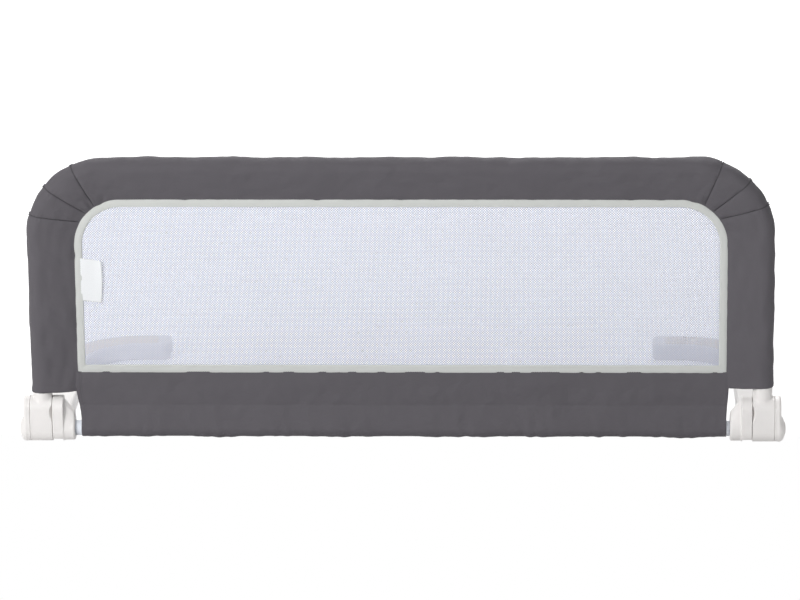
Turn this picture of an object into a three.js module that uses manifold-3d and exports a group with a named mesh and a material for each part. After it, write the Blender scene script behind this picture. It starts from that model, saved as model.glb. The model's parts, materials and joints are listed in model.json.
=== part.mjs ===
// Folding bed guard rail: a fabric-covered tube frame with a net window, standing on two
// hinge brackets whose arms slide under a mattress. The guard folds forward and down once
// the round button on each hinge is pressed.
// Millimetres. X runs along the rail, +Y goes under the mattress and +Z is up.
import * as THREE from "three";
import { mergeVertices } from "three/addons/utils/BufferGeometryUtils.js";
import Module from "manifold-3d";

const wasm = await Module();
wasm.setup();

// Sizes that several pieces share
const fitGap = 0.3; // between two pieces that seat on each other
const overrun = 2; // how far a cutting tool passes the face that it cuts
const overlapShare = 0.5; // of a wall that a joined rib or pillar reaches into
const weldDistance = 1e-4; // below which two corners of a mesh are one

// Curve segments of each round outline, doubled by three.js
const roundSteps = 6;
const largeSteps = 8;
const bossSteps = 10;
const reliefSteps = 24;
const socketSteps = 6;
const planSteps = 4;
const legSteps = 4;
const boltSteps = 5;
const edgeSteps = 2; // of a rounded edge

// Sides of each turned or swept piece
const tubeSides = 12;
const buttonSides = 16;
const boltSides = 10;

// Guard: the fabric-covered frame
const guardWidth = 1030;
const guardHeight = 408;
const guardCornerRadius = 110;
const postBandWidth = 64.5; // from the outer edge of the guard to the net's binding
const topBandWidth = 59;
const fabricThickness = 1.2;
const fabricEase = 1.1; // between the frame tube and the fabric round it
const fabricSides = 10; // of the round part of the sleeve's section
const lipHalfThickness = 1.6; // of the sewn edge that meets the binding
const lipPocketGap = 12; // from that edge to the end of the sleeve's pocket
const seamAnglesDeg = [12, 37, 62]; // of the three gore seams round a top corner
const goreSteps = 2;

// Frame tubes
const frameTubeRadius = 12.5;
const frameTubeWall = 1.2;
const frameBendSteps = 6;
const tubeJointRun = 105; // straight length of a bent tube from its bend to the top tube
const swageLength = 40;

// Net window and lower panel
const bindingWidth = 10.5;
const bindingHalfThickness = 1.8;
const bindingCornerRadius = 53;
const bindingGrip = 6; // how much of the net's edge the binding holds
const netHalfThickness = 0.6;
const netColumns = 16;
const netRows = 9;
const gapWidthShare = 0.68; // of a column's pitch
const gapHeightShare = 0.74; // of the pitch between two rows of the same kind
const netMargin = 5;
const panelTopHeight = 98.5; // where the lower panel meets the binding
const panelHalfThickness = 1.4;
const panelHemHeight = 52; // where the two layers of the hem come together
const hemSteps = 12;
const panelTaper = 3; // how far the panel's lower corners draw in
const panelTaperHeight = 40;
const labelWidth = 27;
const labelHeight = 61;
const labelThickness = 0.6;
const labelDrop = 32; // from the binding's corner down to the label

// Hinge stack, from the post outwards and inwards along X
const axisHeight = 18;
const barrelRadius = 18;
const hingeHeadHeight = 65;
const hingeOffset = 1.5; // of the hinge body's middle, outwards from the post
const hingeBodyWidth = 30.5;
const hingeGap = 0.5; // running gap between the hinge body and the base bracket
const rimWidth = 15.2;
const rimProud = 1.5; // of the bracket's rim over its domed side
const rimNotch = 5.5; // height of the notch below the rim
const domeWidth = 15.6;
const domeSteps = 6;
const stubRadius = 13.7;
const stubHeight = 74.7; // of the shoulder that the post tube stands on
const spigotLength = 45;
const spigotBoreRadius = 8;
const reliefDepth = 2.5; // of the scallop in the hinge body's inner face
const reliefHalfHeight = 13;
const reliefHeight = 50;

// Hinge cover and release button
const coverDepth = 8.8;
const coverWall = 2.4;
const coverEdge = 1.4; // bevel round the cover's outer face
const bossHeight = 4.7;
const bossRadius = 16.8;
const buttonRadius = 10.6;
const buttonProud = 2.5;
const buttonDome = 1.6;
const domeShoulderShare = 0.33; // of the dome's rise left at its shoulder
const domeCrownShare = 0.5; // of the button's radius that is flat
const buttonGap = 0.4; // between the button and the boss round it
const buttonFlangeWidth = 2.2;
const buttonFlangeThickness = 3;
const buttonSkirtDepth = 6;
const buttonLegs = 3;
const buttonLegRadius = 1.9;
const buttonLegOffset = 9;
const legTurnShare = 0.25; // of the angle between two legs
const legGap = 0.4;

// Lock: a toothed disc that a button pushes out of mesh
const gearTeeth = 24;
const gearTipRadius = 12.9;
const gearToothHeight = 1.4;
const gearRootShare = 0.6; // tooth width over pitch at the root
const gearTipShare = 0.36;
const gearThickness = 8;
const gearEngagement = 3.85; // of the disc in the hinge body
const gearClearance = 0.25;
const gearSocketDepth = 15.5; // in the base bracket
const bodySocketDepth = 5.75;
const webThickness = 3.5;
const bodyCavityWall = 3.5;
const springRadius = 5.6;
const springWireRadius = 0.7;
const springTurns = 4;
const springStepsPerTurn = 8;
const springSides = 5;

// Hinge bolt
const boltRadius = 3;
const boltHeadRadius = 5.5;
const boltHeadThickness = 3.5;
const washerRadius = 6.5;
const washerThickness = 1.2;
const nutCornerRadius = 5.8;
const nutThickness = 5;
const nutSides = 6;

// Screws of the cover, the post and the arm
const screwRadius = 1.6;
const screwHeadRadius = 3;
const screwHeadThickness = 2;
const screwSides = 8;
const coverScrewLength = 16;
const coverScrewHeight = 51;
const coverScrewSpacing = 17;
const screwBossWall = 1.2;
const postScrewHeight = 20; // over the shoulder of the post's stub
const postScrewLength = 8;
const armScrewLength = 9;

// Lower tube
const lowerTubeRadius = 10.5;
const lowerTubeWall = 1.2;
const lowerSocketDepth = 11.25;

// Arms
const armReach = 413; // behind the hinge axis
const armWidth = 48;
const armHeight = 24.5;
const armLift = 1; // of the arm's walls off the floor; the sole reaches it
const armInset = 13.35; // from the bracket's domed side to the arm's inner side
const armEdge = 4; // rounding of the arm's upper edges
const armWall = 2.5;
const armBendRadius = 100;
const armEndRun = 37.5; // of the arm's inward end, from the end of its bend
const armEndRadius = 9;
const armRibs = 5;
const armRibThickness = 2.4;
const bendRibShares = [0.25, 0.75]; // places of the ribs round the arm's bend
const armTubeRadius = 8;
const armTubeWall = 1.5;
const armTubeEndGap = 9; // from the tube's end to the shell's end wall
const bracketTailLength = 50; // of the base bracket behind the hinge axis
const bracketTailStart = 6;
const armSocketStart = 24;
const swingGap = 1.5; // between the hinge body and the bracket's tail
const armScrewSetback = 12; // from the tail's end
const stripWidth = 34;
const stripThickness = 1.6;
const stripRecess = 1;
const stripEndGap = 18;
const stripStart = 215; // behind the hinge axis
const stripEndRadius = 4;
const soleThickness = 3.2;
const soleStart = 200;
const soleEndRadius = 6;

// Places worked out from those sizes
const guardHalfWidth = guardWidth / 2;
const sleeveRadius = frameTubeRadius + fabricEase + fabricThickness;
const postX = guardHalfWidth - sleeveRadius;
const topTubeHeight = guardHeight - sleeveRadius;
const frameBendRadius = guardCornerRadius - sleeveRadius;
const cornerX = guardHalfWidth - guardCornerRadius;
const cornerHeight = guardHeight - guardCornerRadius;
const bindingHalfWidth = guardHalfWidth - postBandWidth;
const bindingTopHeight = guardHeight - topBandWidth;
const topTubeHalfLength = cornerX - tubeJointRun;
const windowHalfWidth = bindingHalfWidth - bindingWidth;
const windowTopHeight = bindingTopHeight - bindingWidth;
const windowBottomHeight = panelTopHeight + bindingWidth;
const bindingCornerHeight = bindingTopHeight - bindingCornerRadius;
const labelBottomHeight = bindingCornerHeight - labelDrop - labelHeight;
const frameTubeBottom = stubHeight + fitGap;
const sleeveBottom = stubHeight + 2 * fitGap;
const bodyInnerX = postX + hingeOffset - hingeBodyWidth / 2;
const bodyOuterX = bodyInnerX + hingeBodyWidth;
const rimOuterX = bodyInnerX - hingeGap;
const rimInnerX = rimOuterX - rimWidth;
const domeInnerX = rimInnerX - domeWidth;
const coverInnerX = bodyOuterX + fitGap;
const coverOuterX = coverInnerX + coverDepth;
const bossOuterX = coverOuterX + bossHeight;
const buttonOuterX = bossOuterX + buttonProud;
const gearOuterX = bodyInnerX + gearEngagement;
const gearInnerX = gearOuterX - gearThickness;
const gearFloorX = rimOuterX - gearSocketDepth;
const webInnerX = bodyInnerX + bodySocketDepth;
const webOuterX = webInnerX + webThickness;
const lowerSocketX = domeInnerX + lowerSocketDepth;
const headCentreHeight = hingeHeadHeight - barrelRadius;
const armX = domeInnerX + armInset + armWidth / 2;
const armTubeHeight = (armLift + armHeight) / 2;
const armBendX = armX - armBendRadius;
const armBendY = armReach - armWidth / 2 - armBendRadius;
const armEndX = armBendX - armEndRun;
const shellStart = bracketTailLength + fitGap;

// Solids

// A manifold solid from any closed three.js geometry
function solid(geometry) {
  const bare = geometry.clone();
  bare.deleteAttribute("normal");
  bare.deleteAttribute("uv");
  const merged = mergeVertices(bare, weldDistance);
  const mesh = new wasm.Mesh({
    numProp: 3,
    vertProperties: merged.attributes.position.array,
    triVerts: new Uint32Array(merged.index.array),
  });
  return new wasm.Manifold(mesh);
}

function join(first, ...others) {
  return others.reduce((made, next) => made.add(next), first);
}

function cut(first, ...tools) {
  return tools.reduce((made, tool) => made.subtract(tool), first);
}

// Turns an outline's plane so that it is extruded along a row axis
const basis = {
  x: new THREE.Matrix4().makeBasis(
    new THREE.Vector3(0, 1, 0),
    new THREE.Vector3(0, 0, 1),
    new THREE.Vector3(1, 0, 0),
  ),
  y: new THREE.Matrix4().makeBasis(
    new THREE.Vector3(1, 0, 0),
    new THREE.Vector3(0, 0, 1),
    new THREE.Vector3(0, -1, 0),
  ),
  z: new THREE.Matrix4(),
};

// An outline extruded between two places on an axis: (Y, Z) outlines go along x, (X, Z) ones
// along y and (X, Y) ones along z
function extrude(shape, axis, from, to, steps = roundSteps) {
  const geometry = new THREE.ExtrudeGeometry(shape, {
    depth: to - from,
    bevelEnabled: false,
    curveSegments: steps,
  });
  const start = axis === "y" ? -to : from;
  return solid(geometry.translate(0, 0, start).applyMatrix4(basis[axis]));
}

function circle(radius, u = 0, v = 0) {
  return new THREE.Shape().absarc(u, v, radius, 0, 2 * Math.PI);
}

function polygon(points) {
  return new THREE.Shape(points.map(([u, v]) => new THREE.Vector2(u, v)));
}

function rectangle(u0, v0, u1, v1) {
  return polygon([
    [u0, v0],
    [u1, v0],
    [u1, v1],
    [u0, v1],
  ]);
}

// A round disc or rod about the hinge axis
function hingeRound(radius, from, to, steps) {
  return extrude(circle(radius, 0, axisHeight), "x", from, to, steps);
}

// A solid of revolution about an axis along X, from [place along X, radius] pairs that start
// and end on that axis or close on themselves
function turned(profile, sides, y = 0, z = 0) {
  const points = profile.map(([x, r]) => new THREE.Vector2(r, x));
  const geometry = new THREE.LatheGeometry(points, sides);
  // The lathe's own axis is Y, which goes to X here, and its X goes to Y
  const turn = new THREE.Matrix4().makeBasis(
    new THREE.Vector3(0, 1, 0),
    new THREE.Vector3(1, 0, 0),
    new THREE.Vector3(0, 0, -1),
  );
  geometry.applyMatrix4(turn).translate(0, y, z);
  return solid(facingOut(geometry.toNonIndexed()));
}

// Reverses every triangle of a geometry whose faces point inwards
function facingOut(geometry) {
  const p = geometry.attributes.position;
  const corner = [0, 1, 2].map(() => new THREE.Vector3());
  let volume = 0;
  for (let i = 0; i < p.count; i += 3) {
    corner.forEach((c, k) => c.fromBufferAttribute(p, i + k));
    volume += corner[0].dot(corner[1].clone().cross(corner[2]));
  }
  if (volume < 0)
    for (let i = 0; i < p.count; i += 3) {
      corner.forEach((c, k) => c.fromBufferAttribute(p, i + k));
      p.setXYZ(i + 1, corner[2].x, corner[2].y, corner[2].z);
      p.setXYZ(i + 2, corner[1].x, corner[1].y, corner[1].z);
    }
  return geometry;
}

// A solid through rings of equal count, each convex, with its first and last rings closed
function loft(rings) {
  const sides = rings[0].length;
  const faces = [];
  rings.slice(1).forEach((next, k) => {
    const ring = rings[k];
    for (let i = 0; i < sides; i++) {
      const j = (i + 1) % sides;
      faces.push(ring[i], ring[j], next[j], ring[i], next[j], next[i]);
    }
  });
  for (let i = 1; i < sides - 1; i++) {
    faces.push(rings[0][0], rings[0][i + 1], rings[0][i]);
    const last = rings[rings.length - 1];
    faces.push(last[0], last[i], last[i + 1]);
  }
  const geometry = new THREE.BufferGeometry().setFromPoints(faces);
  return solid(facingOut(geometry));
}

// A section of [across, up] pairs set at a place with its own two directions
function placed(section, at, across, up) {
  return section.map(([a, b]) =>
    at.clone().addScaledVector(across, a).addScaledVector(up, b),
  );
}

function roundSection(radius, sides) {
  return Array.from({ length: sides }, (_, i) => {
    const a = (2 * Math.PI * i) / sides;
    return [radius * Math.cos(a), radius * Math.sin(a)];
  });
}

// A section swept along points that lie in one plane, whose normal is up
function sweep(points, section, up) {
  const rings = points.map((at, i) => {
    const before = points[Math.max(i - 1, 0)];
    const after = points[Math.min(i + 1, points.length - 1)];
    const along = after.clone().sub(before).normalize();
    return placed(section, at, up.clone().cross(along), up);
  });
  return loft(rings);
}

// Points of a path that runs straight, round a bend and straight again. Angles in radians
function bentPath(start, centre, radius, steps, toPoint, end) {
  const bend = Array.from({ length: steps + 1 }, (_, i) => {
    const a = (Math.PI / 2) * (i / steps);
    return toPoint(
      centre.x + radius * Math.cos(a),
      centre.y + radius * Math.sin(a),
    );
  });
  return [start, ...bend, end];
}

// Materials
function material(color, roughness, metalness = 0) {
  return new THREE.MeshStandardMaterial({ color, roughness, metalness });
}

const fabric = material(0x5c5a60, 0.8);
const net = material(0xdfe3ee, 0.9);
const tape = material(0xcdd0cd, 0.85);
const whiteTape = material(0xfafafa, 0.8);
const plastic = material(0xf0edec, 0.45);
const cream = material(0xece6da, 0.9);
const soleRubber = material(0xd9d6d2, 0.95);
const coatedSteel = material(0xe9eaec, 0.35, 0.6);
const zincSteel = material(0xc9ced8, 0.3, 0.9);
const darkSteel = material(0x8c9096, 0.4, 0.9);
const lockPlastic = material(0x4a4d52, 0.5);

function piece(name, made, look) {
  const source = made.getMesh();
  const geometry = new THREE.BufferGeometry();
  const places = new THREE.BufferAttribute(source.vertProperties, 3);
  geometry.setAttribute("position", places);
  geometry.setIndex(new THREE.BufferAttribute(source.triVerts, 1));
  geometry.computeVertexNormals();
  const mesh = new THREE.Mesh(geometry, look);
  mesh.name = name;
  return mesh;
}

// Fabric sleeve round the frame

// Drop-shaped section: round about the tube, drawn to a thin lip at a distance inwards
function dropSection(radius, reach, halfThickness) {
  const lean = Math.asin((radius - halfThickness) / reach);
  const from = Math.PI / 2 - lean;
  const round = Array.from({ length: fabricSides + 1 }, (_, i) => {
    const a = from + ((2 * Math.PI - 2 * from) * i) / fabricSides;
    return [radius * Math.cos(a), radius * Math.sin(a)];
  });
  return [...round, [reach, -halfThickness], [reach, halfThickness]];
}

// One ring of the sleeve, or of the pocket inside it, at an angle round the corner
function sleeveRing(at, lip, inside) {
  const across = lip.clone().sub(at);
  const reach = across.length();
  across.normalize();
  const up = new THREE.Vector3(0, 1, 0);
  const section = inside
    ? dropSection(
        sleeveRadius - fabricThickness,
        reach - lipPocketGap,
        lipHalfThickness - fabricThickness,
      )
    : dropSection(sleeveRadius, reach - fitGap, lipHalfThickness);
  return placed(section, at, across, up);
}

// The tube's middle and the binding's edge at an angle round a top corner
function cornerStation(degrees) {
  const a = (degrees * Math.PI) / 180;
  const at = new THREE.Vector3(
    cornerX + frameBendRadius * Math.cos(a),
    0,
    cornerHeight + frameBendRadius * Math.sin(a),
  );
  const lip = new THREE.Vector3(
    bindingHalfWidth - bindingCornerRadius + bindingCornerRadius * Math.cos(a),
    0,
    bindingCornerHeight + bindingCornerRadius * Math.sin(a),
  );
  return { at, lip };
}

function mirrored({ at, lip }) {
  const flip = new THREE.Vector3(-1, 1, 1);
  return { at: at.clone().multiply(flip), lip: lip.clone().multiply(flip) };
}

// A length of sleeve through stations, its pocket open at both ends
function sleeve(stations) {
  const outer = stations.map(({ at, lip }) => sleeveRing(at, lip, false));
  const shift = (a, b) => {
    const away = a.at.clone().sub(b.at).setLength(overrun);
    return { at: a.at.clone().add(away), lip: a.lip.clone().add(away) };
  };
  const last = stations.length - 1;
  const ends = [
    shift(stations[0], stations[1]),
    shift(stations[last], stations[last - 1]),
  ];
  const inner = [ends[0], ...stations, ends[1]];
  const pocket = inner.map(({ at, lip }) => sleeveRing(at, lip, true));
  return cut(loft(outer), loft(pocket));
}

function stationsBetween(fromDeg, toDeg) {
  return Array.from({ length: goreSteps + 1 }, (_, i) =>
    cornerStation(fromDeg + ((toDeg - fromDeg) * i) / goreSteps),
  );
}

// A seam keeps the fit gap, as an angle round the corner
const seamGapDeg = ((fitGap / bindingCornerRadius) * 180) / Math.PI;
const [lowSeam, midSeam, highSeam] = seamAnglesDeg;

function postSleeve() {
  const height = (z) => ({
    at: new THREE.Vector3(postX, 0, z),
    lip: new THREE.Vector3(bindingHalfWidth, 0, z),
  });
  return sleeve([
    height(sleeveBottom),
    cornerStation(0),
    cornerStation(lowSeam),
  ]);
}

function topSleeve() {
  const right = stationsBetween(highSeam + seamGapDeg, 90);
  return sleeve([...right, ...[...right].reverse().map(mirrored)]);
}

// Net window

// Outline of the window at a distance outwards from its clear opening
function windowOutline(grow) {
  const halfWidth = windowHalfWidth + grow;
  const top = windowTopHeight + grow;
  const radius = bindingCornerRadius - bindingWidth + grow;
  return new THREE.Shape()
    .moveTo(-halfWidth, windowBottomHeight - grow)
    .lineTo(halfWidth, windowBottomHeight - grow)
    .lineTo(halfWidth, top - radius)
    .absarc(halfWidth - radius, top - radius, radius, 0, Math.PI / 2)
    .lineTo(-halfWidth + radius, top)
    .absarc(-halfWidth + radius, top - radius, radius, Math.PI / 2, Math.PI);
}

// True where a point is inside the window's opening by at least a margin
function insideWindow(x, z) {
  const halfWidth = windowHalfWidth - netMargin;
  const top = windowTopHeight - netMargin;
  const radius = bindingCornerRadius - bindingWidth - netMargin;
  const dx = Math.abs(x) - (halfWidth - radius);
  const dz = z - (top - radius);
  const inCorner = dx > 0 && dz > 0;
  return (
    Math.abs(x) <= halfWidth &&
    z <= top &&
    z >= windowBottomHeight + netMargin &&
    (!inCorner || Math.hypot(dx, dz) <= radius)
  );
}

// The net: diamond gaps in staggered rows
function netPanel() {
  const outline = windowOutline(bindingGrip - fitGap);
  const pitchX = (2 * (windowHalfWidth - netMargin)) / netColumns;
  const height = windowTopHeight - windowBottomHeight - 2 * netMargin;
  const pitchZ = height / netRows;
  const w = (pitchX * gapWidthShare) / 2;
  const h = pitchZ * gapHeightShare;
  for (let row = 1; row < netRows; row++) {
    const shift = row % 2 ? 0 : 0.5;
    const z = windowBottomHeight + netMargin + row * pitchZ;
    for (let column = 0; column <= netColumns; column++) {
      const x = (column + shift - netColumns / 2) * pitchX;
      const corners = [
        [x - w, z],
        [x, z + h],
        [x + w, z],
        [x, z - h],
      ];
      if (corners.every(([u, v]) => insideWindow(u, v)))
        outline.holes.push(
          new THREE.Path(corners.map(([u, v]) => new THREE.Vector2(u, v))),
        );
    }
  }
  return extrude(outline, "y", -netHalfThickness, netHalfThickness);
}

// The binding: a tape folded over the net's edge
function binding() {
  const ring = windowOutline(bindingWidth - fitGap);
  ring.holes.push(new THREE.Path(windowOutline(0).getPoints(roundSteps)));
  const body = extrude(ring, "y", -bindingHalfThickness, bindingHalfThickness);
  const slot = netHalfThickness + fitGap;
  return cut(body, extrude(windowOutline(bindingGrip), "y", -slot, slot));
}

// A sewn-in tag that lies on the net beside the binding
function label() {
  const left = -windowHalfWidth + fitGap;
  const front = netHalfThickness + fitGap;
  return extrude(
    rectangle(
      left,
      labelBottomHeight,
      left + labelWidth,
      labelBottomHeight + labelHeight,
    ),
    "y",
    -front - labelThickness,
    -front,
  );
}

// The lower panel: a doubled sheet whose hem runs round the lower tube
function lowerPanel() {
  const loopRadius = lowerTubeRadius + fitGap + fabricThickness;
  const rise = panelHemHeight - axisHeight;
  const lean = Math.asin((loopRadius - panelHalfThickness) / rise);
  const top = panelTopHeight - fitGap;
  const profile = new THREE.Shape()
    .moveTo(-panelHalfThickness, top)
    .lineTo(-panelHalfThickness, panelHemHeight)
    .absarc(0, axisHeight, loopRadius, Math.PI - lean, 2 * Math.PI + lean)
    .lineTo(panelHalfThickness, panelHemHeight)
    .lineTo(panelHalfThickness, top);
  profile.holes.push(circle(lowerTubeRadius + fitGap, 0, axisHeight));
  const side = bindingHalfWidth - fitGap;
  const foot = side - panelTaper;
  const low = axisHeight - loopRadius - overrun;
  const front = polygon([
    [-side, panelTopHeight],
    [-side, sleeveBottom],
    [-foot, panelTaperHeight],
    [-foot, low],
    [foot, low],
    [foot, panelTaperHeight],
    [side, sleeveBottom],
    [side, panelTopHeight],
  ]);
  const depth = loopRadius + overrun;
  return extrude(profile, "x", -side, side, hemSteps).intersect(
    extrude(front, "y", -depth, depth),
  );
}

// Frame tubes

function frameTubeSolid(radius, extra) {
  const toPoint = (x, z) => new THREE.Vector3(x, 0, z);
  const path = bentPath(
    toPoint(postX, frameTubeBottom - extra),
    new THREE.Vector2(cornerX, cornerHeight),
    frameBendRadius,
    frameBendSteps,
    toPoint,
    toPoint(topTubeHalfLength + fitGap - extra, topTubeHeight),
  );
  const section = roundSection(radius, tubeSides);
  return sweep(path, section, new THREE.Vector3(0, 1, 0));
}

function frameTube() {
  return cut(
    frameTubeSolid(frameTubeRadius, 0),
    frameTubeSolid(frameTubeRadius - frameTubeWall, overrun),
    postScrewHole(),
  );
}

// The straight middle tube, whose swaged ends fit in the two bent ones
function topTube() {
  const swageRadius = frameTubeRadius - frameTubeWall - fitGap;
  const bore = frameTubeRadius - frameTubeWall;
  const end = topTubeHalfLength + swageLength;
  const neck = topTubeHalfLength - frameTubeWall;
  const half = [
    [topTubeHalfLength, frameTubeRadius],
    [topTubeHalfLength, swageRadius],
    [end, swageRadius],
    [end, swageRadius - frameTubeWall],
    [neck, swageRadius - frameTubeWall],
    [neck, bore],
  ];
  const otherHalf = half.map(([x, r]) => [-x, r]).reverse();
  const profile = [...half, ...otherHalf, half[0]];
  return turned(profile, tubeSides, 0, topTubeHeight);
}

function lowerTube() {
  const end = lowerSocketX - fitGap;
  return cut(
    hingeRound(lowerTubeRadius, -end, end, tubeSides / 2),
    hingeRound(
      lowerTubeRadius - lowerTubeWall,
      -end - overrun,
      end + overrun,
      tubeSides / 2,
    ),
  );
}

// Screws

// A pan-head screw with its head's outer face at the origin, driven along +X
function screwProfile(length) {
  return [
    [0, 0],
    [0, screwHeadRadius],
    [screwHeadThickness, screwHeadRadius],
    [screwHeadThickness, screwRadius],
    [length, screwRadius],
    [length, 0],
  ];
}

// A screw, or with grow a hole for one, moved from the origin into place
function screwSolid(length, grow, place) {
  const profile = screwProfile(length).map(([x, r], i) => [
    i === 0 || i === 1 ? x - grow : x + grow,
    r ? r + grow : 0,
  ]);
  const points = profile.map(([x, r]) => new THREE.Vector2(r, x));
  const geometry = new THREE.LatheGeometry(points, screwSides);
  return solid(facingOut(geometry.toNonIndexed().applyMatrix4(place)));
}

// The matrix that puts a screw's head at a point, driven in a direction
function driven(direction, x, y, z) {
  const up = new THREE.Vector3(0, 1, 0);
  const turn = new THREE.Quaternion().setFromUnitVectors(up, direction);
  return new THREE.Matrix4().compose(
    new THREE.Vector3(x, y, z),
    turn,
    new THREE.Vector3(1, 1, 1),
  );
}

// The way of the post's screw through the tube's rear wall and the spigot
function postScrewHole() {
  const hole = circle(screwRadius + fitGap, postX, stubHeight + postScrewHeight);
  return extrude(hole, "y", 0, frameTubeRadius + overrun, screwSides / 2);
}

// The post's screw goes forwards through the tube's rear wall into the spigot. Its flat head
// lies between the tube and the fabric
function postScrew() {
  const headFrom = frameTubeRadius + fitGap / 2;
  const headTo = frameTubeRadius + fabricEase / 2;
  const profile = [
    [headTo, 0],
    [headTo, screwHeadRadius],
    [headFrom, screwHeadRadius],
    [headFrom, screwRadius],
    [frameTubeRadius - postScrewLength, screwRadius],
    [frameTubeRadius - postScrewLength, 0],
  ];
  const points = profile.map(([y, r]) => new THREE.Vector2(r, y));
  const geometry = new THREE.LatheGeometry(points, screwSides).toNonIndexed();
  return solid(facingOut(geometry)).translate([
    postX,
    0,
    stubHeight + postScrewHeight,
  ]);
}

// Hinge

// Outline of a hinge piece seen from the side: round below about the axis, and round on top
function headOutline(radius, topCentre = headCentreHeight) {
  return new THREE.Shape()
    .absarc(0, axisHeight, radius, Math.PI, 2 * Math.PI)
    .absarc(0, topCentre, radius, 0, Math.PI);
}

// Outline of the lock disc, or with grow of the socket round it
function toothedOutline(grow) {
  const tip = gearTipRadius + grow;
  const root = gearTipRadius - gearToothHeight + grow;
  const pitch = (2 * Math.PI) / gearTeeth;
  const points = [];
  for (let i = 0; i < gearTeeth; i++) {
    const rootHalf = (pitch * gearRootShare) / 2 + grow / root;
    const tipHalf = (pitch * gearTipShare) / 2 + grow / tip;
    const corners = [
      [root, -rootHalf],
      [tip, -tipHalf],
      [tip, tipHalf],
      [root, rootHalf],
    ];
    corners.forEach(([r, a]) => {
      const angle = i * pitch + a;
      points.push([r * Math.cos(angle), axisHeight + r * Math.sin(angle)]);
    });
  }
  return polygon(points);
}

function toothedSocket(from, to) {
  return extrude(toothedOutline(gearClearance), "x", from, to);
}

// The button's legs, or with grow the holes that they pass through
function buttonLegSolids(grow, from, to) {
  return Array.from({ length: buttonLegs }, (_, i) => {
    const a = (2 * Math.PI * (i + legTurnShare)) / buttonLegs;
    const y = buttonLegOffset * Math.cos(a);
    const z = axisHeight + buttonLegOffset * Math.sin(a);
    return extrude(circle(buttonLegRadius + grow, y, z), "x", from, to, legSteps);
  });
}

// The moving half of the hinge: a barrel and head that carry the post's stub and spigot
function hingeBody() {
  const round = (radius, from, to, steps) =>
    extrude(circle(radius, postX, 0), "z", from, to, steps);
  const spigotRadius = frameTubeRadius - frameTubeWall - fitGap;
  const spigotTop = stubHeight + spigotLength;
  const block = join(
    extrude(headOutline(barrelRadius), "x", bodyInnerX, bodyOuterX),
    round(stubRadius, headCentreHeight, stubHeight, largeSteps),
    round(spigotRadius, stubHeight - overrun, spigotTop, socketSteps),
  );
  const reliefRadius =
    (reliefHalfHeight ** 2 + reliefDepth ** 2) / (2 * reliefDepth);
  const relief = circle(
    reliefRadius,
    bodyInnerX + reliefDepth - reliefRadius,
    reliefHeight,
  );
  const depth = barrelRadius + overrun;
  const cavityRadius = barrelRadius - bodyCavityWall;
  return cut(
    block,
    round(spigotBoreRadius, headCentreHeight, spigotTop + overrun, socketSteps),
    extrude(relief, "y", -depth, depth, reliefSteps),
    toothedSocket(bodyInnerX - overrun, webInnerX),
    hingeRound(cavityRadius, webOuterX, bodyOuterX + overrun, largeSteps),
    boltHole(webInnerX, webOuterX),
    ...buttonLegSolids(legGap, webInnerX - overrun, webOuterX + overrun),
    ...coverScrewSolids(fitGap),
    postScrewHole(),
  );
}

function boltHole(from, to) {
  return hingeRound(boltRadius + fitGap, from - overrun, to + overrun, boltSteps);
}

const coverScrewSides = [-1, 1];

function coverScrewAt(side, grow) {
  const inwards = new THREE.Vector3(-1, 0, 0);
  const y = (side * coverScrewSpacing) / 2;
  const place = driven(inwards, coverOuterX, y, coverScrewHeight);
  return screwSolid(coverScrewLength, grow, place);
}

function coverScrewSolids(grow) {
  return coverScrewSides.map((side) => coverScrewAt(side, grow));
}

// The outer cover: a shallow cap with a round boss about the button
function hingeCover() {
  const bevel = {
    depth: coverDepth - coverEdge,
    bevelEnabled: true,
    bevelThickness: coverEdge,
    bevelSize: coverEdge,
    bevelOffset: -coverEdge,
    bevelSegments: edgeSteps,
    curveSegments: roundSteps,
  };
  const cap = new THREE.ExtrudeGeometry(headOutline(barrelRadius), bevel);
  cap.translate(0, 0, coverInnerX).applyMatrix4(basis.x);
  const below = headOutline(barrelRadius + overrun);
  const body = cut(
    solid(cap),
    extrude(below, "x", coverInnerX - 2 * coverEdge, coverInnerX),
  );
  const boss = hingeRound(
    bossRadius,
    coverInnerX + coverWall,
    bossOuterX,
    bossSteps,
  );
  const hollow = extrude(
    headOutline(barrelRadius - coverWall),
    "x",
    coverInnerX - overrun,
    coverOuterX - coverWall,
  );
  const bossCavity = hingeRound(
    bossRadius - coverWall,
    coverInnerX - overrun,
    bossOuterX - coverWall,
    largeSteps,
  );
  const pillars = coverScrewSides.map((side) => {
    const radius = screwHeadRadius + fitGap + screwBossWall;
    const y = (side * coverScrewSpacing) / 2;
    const to = coverOuterX - coverEdge;
    return extrude(circle(radius, y, coverScrewHeight), "x", coverInnerX, to);
  });
  const shell = cut(join(body, boss), hollow, bossCavity);
  const outside = extrude(
    headOutline(barrelRadius - coverEdge),
    "x",
    coverInnerX,
    coverOuterX,
  );
  const bore = hingeRound(
    buttonRadius + buttonGap,
    coverInnerX,
    bossOuterX + overrun,
    largeSteps,
  );
  return cut(
    join(shell, ...pillars.map((p) => p.intersect(outside))),
    bore,
    ...coverScrewSolids(fitGap),
  );
}

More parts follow.
